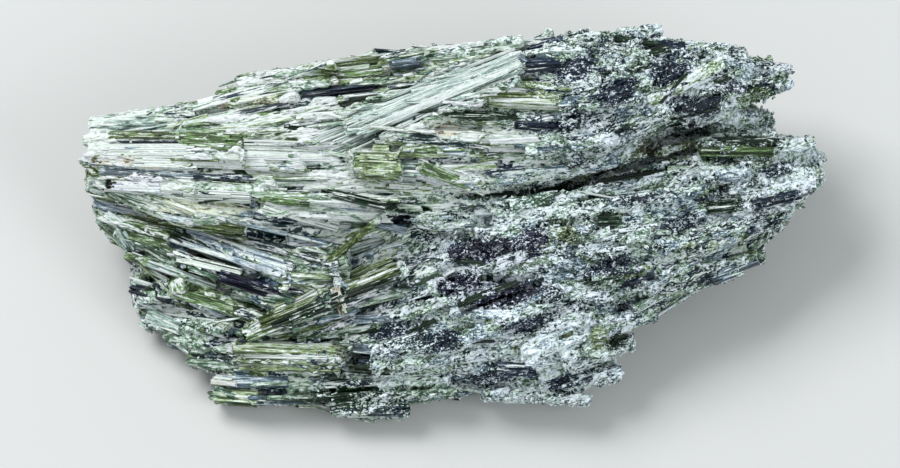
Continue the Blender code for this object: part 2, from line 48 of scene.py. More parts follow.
BODY = "root"
MM = 0.001
SEED = 11

# The broad face's lean, centre and axes; FAR is well outside the piece
FACE_LEAN = math.radians(25)
FACE_CENTRE = np.array((0.0, 0.0, 9.6))
ALONG = np.array((1.0, 0.0, 0.0))
UP = np.array((0.0, math.cos(FACE_LEAN), math.sin(FACE_LEAN)))
OUT = np.array((0.0, -math.sin(FACE_LEAN), math.cos(FACE_LEAN)))
FAR = 60.0

# The mass, the skin that crystals are spread over, and how near the ground crystals may come
MASS_VOXEL, MASS_TRIANGLES, SKIN_VOXEL = 0.17 * MM, 192000, 0.9 * MM
LOWEST_POINT, GROUND_CLEARANCE = 0.02, 0.1

# Steps up from cell to cell of the pattern, and how deep and wide the gaps between cells are
LATH_STEP, STRIP_STEP, LATH_GAP, LATH_GAP_WIDTH = 0.34, 0.14, 0.09, 0.12
CLUMP_STEP, CRUMB_STEP, CRUMB_GAP, CRUMB_GAP_WIDTH = 0.3, 0.22, 0.08, 0.25
CLOUD_STEP, VEIN_RISE, SLOT_DEPTH = 0.66, 0.08, 0.22

# Cells of the pattern per mm along the grain, across it and outwards, and waves of its noise
LATH_CELL, STRIP_CELL = (0.13, 1.15, 1.15), (0.36, 4.0, 4.0)
CLUMP_CELL, CRUMB_CELL = (0.6, 1.0, 1.0), (2.2, 3.4, 3.4)
CLOUD_WAVE, SWELL_WAVE, WANDER_WAVE = (0.5, 0.9, 0.9), (0.18, 0.34, 0.34), (0.4, 1.5, 1.5)
FIBRE_WAVE, SPECK_WAVE, POWDER_AND_GLINT_WAVE = (0.6, 6.5, 6.5), (3.4, 6.0, 6.0), (8.0, 9.5, 9.5)
VEIN_LEVEL, VEIN_WIDTH, SLOT_LEVEL, SLOT_WIDTH = 0.53, 0.02, 0.41, 0.016

# From how much scatter the pattern is loose instead of parallel, and how ragged that border is
LOOSE_FROM, LOOSE_BY, LOOSE_RAGGED = 0.35, 0.6, 0.5

# How much each pattern counts in the frost, in parallel and in loose ground; in loose ground, vein is a
# painted highlight along the raised veins and slot is painted shade in the dug slots
PARALLEL_TONE = {"lath": 0.46, "strip": 0.36, "fibre": 2.5}
LOOSE_TONE = {"swell": 1.3, "cloud": 1.8, "crumb": 0.4, "fibre": 1.1, "powder_and_glint": 0.45,
              "between": -0.1, "vein": 0.25, "slot": -0.5}

# How much the fine noise counts: in the frost's powder (times a gain by how loose the ground is,
# plus a base), in how well frost covers, in its silver, and in how ragged a stated tint ends
POWDER, POWDER_LOOSE = 2.0, (1.2, 0.45)
COVER_FIBRE, COVER_SPECK, SILVERY_CLOUD = 1.6, 1.0, 1.2
OWN_FIBRE, OWN_SPECK = 1.2, 0.8

# Ramps: low, high, and the values at low and high where these aren't 0 and 1
# The second ramp on the next line makes bright specks: partly white powder, partly painted glints
OWN_RAMP, POWDER_AND_GLINT_RAMP, SILVERY_RAMP = (0.42, 0.58), (0.54, 0.66), (0.35, 0.75)
# The first ramp on the next line is painted shade in the gaps between laths
GAP_SHADE_RAMP, COVER_RAMP = (0.0, 0.09, 0.24, 0.0), (-0.35, 0.3, 0.72, 1.04)
CALM_RAMP = (0.62, 0.84, 1.0, 0.6)
GLASS_SHADE_RAMP = (0.05, 0.75, 0.2, 1.6)
FROSTED_RAMP = (0.44, 0.78)

# The crystal's gloss and fine bump
GLASS_ROUGHNESS, FROST_ROUGHNESS, CRYSTAL_IOR, CRYSTAL_SPECULAR = 0.3, 0.6, 1.62, 0.18
BUMP_STRENGTH, BUMP_HEIGHT, FROST_BUMP = 0.7, 0.1 * MM, 0.4

# The band of fine fibres across the upper face: its axis and form, where fibres start and end as
# shares of it (most of them whole), and how they vary
SHEAF_START, SHEAF_END, SHEAF_WIDTH, SHEAF_FIBRES = (-12.0, 5.7), (5.3, 12.9), 2.2, 440
SHEAF_DOME, SHEAF_FROST, SHEAF_FAN, SHEAF_NARROWING, SHEAF_LOW_START = 0.2, 0.72, 1.5, 0.7, 0.6
FIBRE_STARTS, FIBRE_LATEST, FIBRE_SHORTEST = (1.4, 1.8), 0.8, 0.2
FIBRES_WHOLE, WHOLE_END, SHORT_END = 0.6, (0.96, 1.0), (0.5, 1)
FIBRE_WIDTH, FIBRE_SHOWN, FIBRE_TWIST = (0.08, 0.18), (-0.1, 0.02), 0.2
FIBRE_FROSTS, FIBRE_CALM = 0.1, 0.2

# Heights taken along a stated crystal, its slope at most, and how far its strands may step or sink
BUNDLE_STEPS, STEEPEST_STRAND, STRAND_STEP, DEEPEST_STRAND = 7, 0.5, 0.4, 1.4
STRAND_PERCENTILE = 80

# How strands vary: place, late start, early end, width, thickness, height, twist and frost, and
# what is left of the ground's scatter on them
STRAND_JITTER, STRAND_LATE, STRAND_EARLY = 0.05, 0.25, 0.3
STRAND_WIDTH, STRAND_THICKNESS, STRAND_SHOWN = (0.7, 1.15), (0.8, 1.1), (0.02, 0.12)
STRAND_TWIST, STRAND_FROSTS, STRAND_CALM = 0.12, 0.08, 0.3

# Laths laid all round: piece, how many are tried, length, width, and whether for loose ground
LATH_SETS = (
    ("laths", 800, 7.5, 0.7, False),
    ("thin_laths", 1100, 4.5, 0.28, False),
    ("grains", 1300, 3.6, 0.5, True),
)

# A lath is kept by chance: this less the scatter in parallel ground, or the scatter less this
PARALLEL_CHANCE, LOOSE_CHANCE = 1.02, 0.2

# How laths vary: degrees off the grain, tip out of the surface, size, thickness, height and frost
LATH_TURN, LATH_TURN_LOOSE, LATH_TIP, LATH_VARIETY, LATH_SHORTER = 1.5, 14, 0.14, 0.35, 0.5
LATH_THICKNESS, LATH_SHOWN, LATH_SHIFT, LATH_FROSTS = (0.45, 0.8), (-0.02, 0.12), (-0.2, 0.4), 0.13

# Crumbs, and how they vary: chance, degrees off the grain, tip, twist, length, width and frost
CRUMBS, CRUMB_SIZE, CRUMB_CHANCE = 14000, 0.28, 0.15
CRUMB_TURN, CRUMB_TURN_LOOSE, CRUMB_TIP, CRUMB_TWIST = 10, 60, 0.3, 0.35
CRUMB_LENGTHS, CRUMB_LONG, CRUMB_SHORTER = 0.4, 2.2, 1.1
CRUMB_WIDTHS, CRUMB_NARROW, CRUMB_THICKNESS, CRUMB_FROSTS = 0.3, 0.8, (0.6, 1.0), (0.02, 0.14)

# Where laths and crumbs are kept off: cracks, end faces, stated crystals and steep or bent ground
CRACK_EDGE, END_ON, OVERLAPPING, STATED_MARGIN = 0.1, 0.75, 0.15, 0.1
STEEPEST_LATH, MOST_BENT = 0.2, 0.7

# Lights: name, place and size in metres, watts and colour
LIGHTS = (
    ("key", (-0.25, 0.17, 0.44), 0.28, 3.1, (0.98, 1.0, 1.0)),
    ("fill", (0.35, -0.25, 0.35), 0.3, 1.35, (0.93, 0.98, 1.0)),
)
SKY, SKY_STRENGTH = (0.92, 0.98, 1.0, 1), 0.66
FLOOR_HALF, FLOOR_COLOUR, FLOOR_ROUGHNESS = 4.0, (0.46, 0.46, 0.455, 1), 0.8

# The camera looks straight at the broad face; its shift is in pixels of the frame
LENS, SENSOR, CAMERA_DISTANCE, CAMERA_REACH = 450, 36, 0.9, 20
FRAME_WIDTH, SHIFT = 900, (-4, -11.5)


def srgb(red, green, blue):
    """A display colour, 0 to 255, as linear values."""
    values = np.array((red, green, blue)) / 255
    return np.where(values <= 0.04045, values / 12.92, ((values + 0.055) / 1.055) ** 2.4)


# Stated crystals: name, (u, v) of both ends, width, strands, tint, frost, thickness
BUNDLES = (
    ("white_wide_lath", (-28.6, 5.8), (-20.6, 5.75), 1.1, 6, "frost", 0.92, 0.5),
    ("olive_lath_left", (-27.7, 7.0), (-22.2, 6.95), 0.5, 2, "olive", 0.4, 0.5),
    ("navy_line_upper", (-26.8, 6.42), (-21.8, 6.35), 0.22, 1, "navy", 0.05, 0.3),
    ("green_block_left", (-22.0, 6.75), (-16.8, 6.5), 1.4, 4, "green", 0.42, 0.6),
    ("white_streaks", (-16.8, 5.8), (-9.9, 5.6), 1.6, 9, "frost", 0.82, 0.5),
    ("white_lath_second", (-25.6, 4.75), (-20.4, 4.6), 0.8, 4, "frost", 0.86, 0.5),
    ("olive_thread", (-25.0, 5.1), (-18.6, 4.95), 0.25, 1, "olive", 0.2, 0.4),
    ("slate_lath_left", (-28.4, 4.15), (-20.7, 3.85), 0.6, 3, "slate_and_sheen", 0.36, 0.5),
    ("navy_line_lower", (-20.9, 3.75), (-15.9, 3.55), 0.5, 2, "navy", 0.2, 0.4),
    ("white_lath_pink", (-27.4, 3.05), (-23.4, 2.8), 0.8, 3, "lilac", 0.9, 0.5),
    ("white_lath_third", (-21.6, 2.2), (-16.2, 1.95), 0.8, 5, "frost", 0.85, 0.5),
    ("dark_needle", (-20.4, 1.55), (-16.6, 2.15), 0.18, 1, "deep", 0.1, 0.4),
    ("olive_prism_left", (-24.5, 0.35), (-16.8, -0.8), 1.3, 5, "olive", 0.34, 0.7),
    ("rim_olive", (-29.8, 2.4), (-26.0, 1.7), 0.6, 2, "olive", 0.4, 0.5),
    ("rim_slate", (-29.5, 1.95), (-26.8, 1.0), 0.7, 2, "slate_and_sheen", 0.4, 0.5),
    ("rim_pale", (-28.0, 0.7), (-26.3, -0.4), 0.6, 2, "pale", 0.6, 0.5),
    ("rim_grey", (-27.0, -0.6), (-25.8, -2.3), 0.8, 2, "pale", 0.4, 0.5),
    ("dark_band", (-22.6, -0.8), (-17.3, -3.6), 0.8, 3, "deep", 0.18, 0.5),
    # The blade on this line and the next is mostly painted sheen: the light reflected by its smooth
    # bluish-grey face, given as its tint
    ("slate_blade", (-22.6, -0.7), (-13.5, -3.7), 1.4, 3, "slate_and_sheen", 0.62, 0.6),
    ("blade_lower_end", (-16.0, -2.8), (-13.2, -3.8), 1.0, 2, "slate_and_sheen", 0.6, 0.6),
    ("white_lath_flank", (-22.2, -2.8), (-17.0, -4.0), 0.7, 4, "frost", 0.76, 0.5),
    ("purple_lath_flank", (-18.8, -4.2), (-13.9, -5.8), 1.0, 4, "purple", 0.2, 0.6),
    ("end_wedge_upper", (-26.3, -4.6), (-23.0, -5.6), 0.5, 2, "pale", 0.66, 0.7),
    ("end_wedge_core", (-26.0, -5.3), (-22.8, -6.1), 0.8, 2, "navy", 0.14, 0.8),
    ("end_wedge_lower", (-25.9, -6.1), (-23.2, -7.2), 0.5, 2, "pale", 0.64, 0.7),
    ("flank_pale_lath", (-24.6, -3.2), (-19.2, -5.2), 0.6, 3, "pale", 0.62, 0.6),
    ("flank_green_lath", (-22.4, -5.6), (-17.6, -7.0), 0.8, 3, "green", 0.46, 0.6),
    ("flank_white_prism", (-23.4, -7.0), (-18.8, -7.6), 0.7, 3, "frost", 0.74, 0.6),
    ("pale_end_prism", (-24.6, -7.4), (-21.8, -8.5), 1.0, 3, "pale", 0.66, 0.8),
    ("pale_diagonal", (-16.2, -8.5), (-9.9, -4.9), 0.5, 3, "frost", 0.7, 0.5),
    ("diagonal_upper", (-14.4, -6.9), (-4.9, -2.9), 0.7, 3, "yellow", 0.52, 0.7),
    ("diagonal_middle", (-15.6, -8.0), (-4.4, -3.5), 0.8, 3, "olive", 0.38, 0.8),
    ("diagonal_deep", (-14.6, -8.2), (-4.8, -4.4), 0.5, 2, "deep", 0.16, 0.6),
    ("diagonal_lower", (-16.6, -9.2), (-11.2, -7.1), 0.7, 3, "green", 0.54, 0.7),
    ("tan_splinter", (-9.5, -5.1), (-8.7, -7.3), 0.6, 2, "tan", 0.34, 0.5),
    ("yellow_prism_upper", (-17.7, -9.9), (-9.2, -10.2), 1.0, 3, "yellow", 0.44, 0.9),
    ("yellow_prism_line", (-16.8, -10.7), (-10.0, -10.8), 0.3, 2, "frost", 0.88, 0.6),
    ("yellow_prism_lower", (-17.2, -11.3), (-9.1, -11.4), 0.9, 3, "yellow", 0.4, 0.9),
    ("recess_lath_upper", (-8.0, -10.0), (-4.6, -10.4), 0.7, 3, "slate_and_sheen", 0.28, 0.5),
    ("recess_lath_middle", (-7.6, -10.9), (-4.8, -11.1), 0.5, 2, "navy", 0.2, 0.5),
    ("recess_lath_lower", (-8.4, -11.7), (-5.2, -11.9), 0.6, 3, "deep", 0.24, 0.5),
    ("yellow_prism_end", (-9.9, -10.1), (-9.0, -10.3), 1.2, 3, "rust", 0.4, 0.8),
    ("bottom_prism", (-19.3, -13.9), (-15.6, -14.1), 1.3, 4, "yellow", 0.38, 0.9),
    ("pink_end", (-19.4, -12.5), (-17.3, -12.7), 0.9, 3, "tan", 0.86, 0.7),
    ("olive_top_upper", (-11.2, 12.6), (-5.2, 13.3), 0.7, 3, "olive", 0.42, 0.7),
    ("olive_top_lower", (-10.8, 11.7), (-5.6, 12.3), 0.8, 3, "green", 0.46, 0.6),
    ("tan_end_top", (-5.6, 12.2), (-5.0, 12.3), 0.9, 2, "tan", 0.5, 0.6),
    ("slate_top", (-5.1, 12.5), (-2.6, 12.8), 0.7, 2, "slate_and_sheen", 0.26, 0.6),
    ("navy_lath_top", (-12.3, 10.2), (-6.3, 10.9), 0.5, 3, "navy", 0.22, 0.4),
    ("dark_lath_top", (-9.2, 9.5), (-5.7, 9.9), 0.5, 2, "deep", 0.08, 0.4),
    ("white_lath_right", (2.6, 10.55), (5.7, 10.5), 0.35, 2, "frost", 0.9, 0.5),
    ("olive_lath_right", (2.6, 10.15), (7.2, 10.05), 0.35, 2, "olive", 0.42, 0.5),
    ("yellow_lath_right", (2.7, 9.6), (8.5, 9.3), 0.8, 3, "yellow", 0.7, 0.6),
    ("teal_lath", (-1.0, 8.65), (5.0, 8.45), 0.45, 2, "deep", 0.16, 0.5),
    ("navy_lath_right", (4.8, 7.8), (8.6, 7.6), 0.6, 3, "navy", 0.24, 0.5),
    ("dark_lath_streaky", (-13.6, 7.4), (-10.2, 7.2), 0.7, 3, "deep", 0.25, 0.4),
    ("grey_green_lath", (-15.6, 2.1), (-11.4, 1.7), 0.9, 3, "green", 0.5, 0.5),
    ("dark_lath_middle", (-10.6, 2.5), (-5.4, 1.3), 0.7, 4, "deep", 0.34, 0.4),
    ("white_lath_sloping", (-15.2, 1.4), (-9.2, -0.3), 0.9, 5, "frost", 0.8, 0.5),
    ("navy_thread", (-16.0, 0.7), (-12.6, 0.1), 0.35, 1, "navy", 0.25, 0.4),
    ("pale_lath_middle", (-8.8, -2.35), (-4.5, -1.15), 0.7, 3, "pale", 0.55, 0.5),
    ("green_block", (-7.6, 4.75), (-4.3, 4.6), 2.5, 4, "yellow", 0.46, 0.9),
    ("striated_block", (-4.4, 4.1), (-2.4, 4.0), 1.7, 6, "pale", 0.44, 0.8),
    ("sloping_lath", (-2.6, 4.5), (2.5, 2.6), 1.1, 4, "green", 0.5, 0.6),
    ("needle_middle", (-9.9, -2.9), (-6.5, 0.05), 0.2, 1, "olive", 0.2, 0.3),
    ("slate_lath_middle", (-6.7, 0.0), (-3.7, -0.7), 0.5, 2, "slate_and_sheen", 0.4, 0.5),
    ("white_needle", (9.8, 2.5), (13.2, 1.85), 0.18, 1, "frost", 1.2, 0.9),
    ("deep_green_upper", (19.4, 6.4), (26.2, 6.7), 0.6, 3, "deep", 0.3, 0.6),
    ("deep_green_lower", (19.6, 5.7), (25.6, 5.7), 0.8, 4, "green", 0.2, 0.6),
    ("slate_lath_right", (21.0, 3.5), (23.5, 3.75), 0.8, 2, "slate_and_sheen", 0.5, 0.5),
    ("dark_lath_right", (23.8, 1.4), (28.4, 2.4), 0.9, 5, "navy", 0.3, 0.6),
    ("deep_block_middle", (11.2, 0.2), (13.4, 0.25), 1.0, 3, "deep", 0.34, 0.5),
    ("deep_block_right", (20.0, 1.2), (23.1, 1.5), 1.0, 4, "deep", 0.46, 0.5),
    ("slate_lath_low", (20.6, -4.6), (24.4, -3.2), 1.2, 5, "slate_and_sheen", 0.22, 0.6),
    ("yellow_grain", (8.6, -8.9), (9.5, -8.8), 0.7, 1, "yellow", 0.3, 0.6),
    ("yellow_block", (10.9, -9.2), (12.2, -9.1), 1.5, 3, "yellow", 0.4, 0.8),
    ("deep_block_low", (12.4, -9.3), (13.8, -9.1), 1.4, 5, "deep", 0.3, 0.8),
    ("dark_needle_middle", (-2.6, -2.95), (2.3, -3.2), 0.24, 1, "deep", 0.1, 0.3),
    ("dark_lath_front", (0.2, -6.6), (5.1, -4.7), 0.5, 2, "deep", 0.12, 0.4),
    ("dark_lath_recess", (-4.4, -9.4), (-1.4, -7.7), 0.5, 2, "deep", 0.1, 0.4),
    ("dark_lath_gap", (-9.1, -9.2), (-6.0, -8.5), 0.3, 1, "deep", 0.1, 0.4),
    ("dark_needle_front", (0.6, -9.6), (3.3, -9.45), 0.22, 1, "deep", 0.15, 0.3),
    ("dark_needle_right", (10.3, -4.9), (13.2, -4.3), 0.26, 1, "deep", 0.12, 0.4),
    ("navy_lath_side", (13.4, -5.0), (16.0, -4.3), 0.4, 2, "navy", 0.15, 0.4),
    ("slate_lath_front", (-8.4, -7.8), (-5.0, -7.6), 0.6, 2, "slate_and_sheen", 0.34, 0.4),
    ("navy_block_front", (3.4, -11.6), (6.6, -11.8), 1.2, 5, "navy", 0.44, 0.4),
    ("green_lath_upright", (16.3, 9.4), (18.6, 12.0), 0.3, 1, "deep", 0.15, 0.4),
    ("green_lath_tip", (19.6, 10.6), (22.3, 11.8), 0.4, 2, "deep", 0.2, 0.4),
    ("dark_lath_upright", (17.2, 8.2), (21.2, 9.1), 0.3, 1, "deep", 0.1, 0.4),
    ("dark_lath_rim", (12.7, 14.8), (16.5, 14.2), 0.5, 2, "deep", 0.2, 0.5),
    ("navy_lath_rim", (16.0, 14.4), (18.7, 14.1), 0.5, 2, "navy", 0.2, 0.5),
    ("teal_lath_rim", (15.1, 13.4), (17.3, 13.9), 0.6, 2, "deep", 0.25, 0.5),
    ("slate_prism_top", (5.6, 13.7), (8.8, 14.5), 0.9, 3, "navy", 0.36, 0.4),
    ("navy_lens_top", (5.2, 12.4), (8.8, 12.7), 0.9, 2, "navy", 0.14, 0.5),
    ("diagonal_dark", (-13.2, -7.7), (-8.5, -5.7), 0.9, 3, "deep", 0.14, 0.8),
    ("diagonal_end", (-8.8, -6.0), (-5.6, -4.6), 0.6, 2, "green", 0.4, 0.7),
    ("fissure_needle_left", (0.5, 2.2), (4.9, 2.4), 0.3, 2, "deep", 0.05, 0.4),
    ("fissure_needle", (4.4, 2.4), (8.8, 2.85), 0.34, 2, "deep", 0.05, 0.4),
    ("fissure_needle_upper", (8.6, 2.85), (13.2, 4.6), 0.34, 2, "deep", 0.06, 0.4),
    ("fissure_needle_lower", (11.4, 3.25), (16.3, 4.1), 0.34, 2, "deep", 0.06, 0.4),
)

# Cracks in the broad face: name, its points (u, v), half width and depth; the depth is dug into the relief
# and also painted into the colour as shade along the crack
CRACKS = (
    ("fissure", ((0.6, 2.0), (5.0, 2.3), (8.5, 2.8), (11.5, 3.3), (16.4, 4.2), (18.6, 4.6)), 0.17, 0.85),
    ("fissure_branch", ((8.5, 2.8), (13.4, 4.6)), 0.14, 0.5),
    ("ledge_line", ((-15.8, -13.6), (-6.0, -13.4), (2.1, -13.0)), 0.14, 0.4),
    ("sheaf_lower_edge", ((-9.5, 5.6), (-3.8, 8.1), (1.5, 10.6), (5.0, 11.9)), 0.16, 0.3),
    ("blade_edge", ((-22.6, -1.6), (-17.3, -3.9), (-14.0, -4.9)), 0.2, 0.5),
    ("diagonal_edge", ((-13.0, -8.6), (-8.0, -6.6), (-4.0, -5.0)), 0.16, 0.4),
    ("prism_edge", ((-17.5, -9.2), (-9.0, -9.3)), 0.16, 0.4),
    ("prism_underside", ((-17.4, -12.0), (-9.0, -12.1)), 0.18, 0.5),
    ("purple_seam", ((-3.0, -6.2), (2.0, -5.0), (7.0, -4.6)), 0.16, 0.4),
    ("lower_seam", ((13.0, -4.6), (17.0, -3.6), (21.0, -1.6)), 0.14, 0.35),
    ("dark_seam_left", ((-21.0, 3.4), (-15.6, 3.2)), 0.12, 0.3),
    ("slot_upper", ((-16.6, -0.6), (-13.4, -1.1)), 0.13, 0.3),
    ("slot_lower", ((-15.6, -1.6), (-12.4, -2.1)), 0.13, 0.3),
    ("pocket", ((-5.2, 1.4), (-2.2, 0.9)), 0.26, 0.6),
    ("pocket_low", ((-5.6, 0.4), (-3.0, 0.1)), 0.2, 0.5),
)

# Two tints of glassy crystal in each family, between which its crystals vary; the pale family
# takes what the shares leave
FAMILIES = {
    "green": (srgb(70, 98, 56), srgb(124, 146, 100)),
    # The next family is partly bluish-grey crystal colour and partly painted sheen, the light reflected by
    # smooth cleavage faces
    "slate_and_sheen": (srgb(126, 150, 164), srgb(60, 90, 106)),
    "dark": (srgb(0, 46, 38), srgb(6, 36, 58)),
    "pale": (srgb(146, 170, 146), srgb(74, 108, 86)),
}
FAMILY_TABLE = np.array(list(FAMILIES.values()))
FROST = srgb(206, 215, 208)
SILVER = srgb(204, 206, 209)
LOOSE_FROST, LOOSE_SILVER = srgb(209, 223, 216), srgb(213, 221, 228)

# What each kind of ground is: shares of the green, slate and dark families, and how frosted
KINDS = {
    "frosted": (0.12, 0.12, 0.10, 0.82),
    "green_sheaf": (0.34, 0.08, 0.18, 0.64),
    "streaky": (0.36, 0.06, 0.18, 0.71),
    "slate_flank": (0.10, 0.34, 0.28, 0.55),
    # The next kind: olive crystal colour, with its frost kept low as painted shade on the lower left flank
    "olive_flank_and_shade": (0.28, 0.08, 0.27, 0.52),
    "granular": (0.03, 0.24, 0.40, 0.55),
    "green_granular": (0.12, 0.10, 0.36, 0.60),
    "pale_granular": (0.03, 0.24, 0.32, 0.75),
    "dark_granular": (0.01, 0.22, 0.62, 0.52),
    "upper_granular": (0.04, 0.18, 0.38, 0.58),
    "edge": (0.24, 0.12, 0.36, 0.48),
}

# What the hidden sides tend to, from this depth under the broad face and over this stretch
HIDDEN_DEPTH, HIDDEN_FADE = 2.5, 2.0
HIDDEN_SHARES, HIDDEN_FROST = np.array((0.24, 0.1, 0.3)), 0.54

# The grid on which the broad face's levels are taken
LEVEL_STEP, LEVEL_REACH = 0.5, (32.0, 18.0)

# Zones of the broad face: u, v, the grain's slope in degrees, its scatter and the kind of ground
ZONES = (
    (-26, 7, 2, 0.0, "frosted"), (-20, 5, 0, 0.0, "frosted"), (-21, 2, -3, 0.05, "frosted"),
    (-16, 11, 8, 0.0, "green_sheaf"), (-6, 12.5, 8, 0.1, "green_sheaf"),
    (2, 14, 10, 0.3, "green_sheaf"), (-14, 8.5, 6, 0.05, "streaky"), (-13, 5, 0, 0.0, "streaky"),
    (-10, 1.5, -3, 0.05, "streaky"), (-4, 5, -3, 0.2, "streaky"), (2, 7.5, -2, 0.25, "streaky"),
    (-24, -1, -20, 0.15, "olive_flank_and_shade"), (-18, -3, -24, 0.1, "slate_flank"),
    (-13, -4, -14, 0.2, "slate_flank"), (-21, -7, 3, 0.4, "olive_flank_and_shade"),
    (-12, -7, 24, 0.15, "olive_flank_and_shade"), (-6, -5.5, 22, 0.4, "granular"),
    (-14, -11, 0, 0.15, "olive_flank_and_shade"), (-5, -10, 10, 0.7, "pale_granular"),
    (-15, -13.6, -2, 0.4, "granular"), (-6, -14.8, 2, 0.4, "edge"),
    (1, -1, 0, 0.7, "pale_granular"), (5, -4, 14, 0.8, "dark_granular"),
    (0, -8, 10, 0.9, "pale_granular"), (6, -10, 14, 0.9, "pale_granular"),
    (10, -14, 12, 0.9, "pale_granular"), (12, -5, 14, 0.8, "granular"), (10, 0, 5, 0.8, "green_granular"),
    (17, -2, 14, 0.8, "green_granular"), (20, 2.5, 14, 0.8, "granular"),
    (26, 4, 18, 0.9, "pale_granular"), (22, -3, 18, 0.3, "edge"), (6, 11, 5, 0.5, "upper_granular"),
    (9, 8.5, 2, 0.6, "granular"), (13, 12, 16, 0.8, "upper_granular"), (18, 11, 22, 0.8, "upper_granular"),
    (24, 11.5, 6, 0.9, "upper_granular"), (15, 7.5, 22, 0.8, "upper_granular"),
    (20, 5.8, 5, 0.5, "green_granular"),
)
ZONE_PLACES = np.array([zone[:2] for zone in ZONES], float)
ZONE_SLOPES = np.radians([zone[2] for zone in ZONES])
ZONE_SCATTERS = np.array([zone[3] for zone in ZONES], float)
ZONE_SHARES = np.array([KINDS[zone[4]][:3] for zone in ZONES])
ZONE_FROSTS = np.array([KINDS[zone[4]][3] for zone in ZONES])
ZONE_REACH = np.array((3.2, 1.9))
ZONE_BLEND, ZONE_BLEND_OUTSIDE, ZONE_NEIGHBOURS = 2, 0.3, 4

TINTS = {
    "frost": FROST,
    "lilac": srgb(190, 198, 212),
    "cream": srgb(190, 194, 166),
    "pale": srgb(152, 174, 166),
    "green": srgb(104, 134, 82),
    "deep": srgb(6, 48, 20),
    "olive": srgb(92, 112, 60),
    "yellow": srgb(138, 158, 114),
    # The next tint is partly bluish-grey crystal colour and partly painted sheen, the light reflected by
    # smooth faces
    "slate_and_sheen": srgb(130, 148, 162),
    "navy": srgb(18, 42, 68),
    "purple": srgb(22, 28, 62),
    "rust": srgb(96, 94, 60),
    "tan": srgb(190, 184, 164),
    # Painted shade: a very dark tint that stands in for the shadow in holes and recesses
    "painted_shade_black": srgb(4, 22, 18),
}

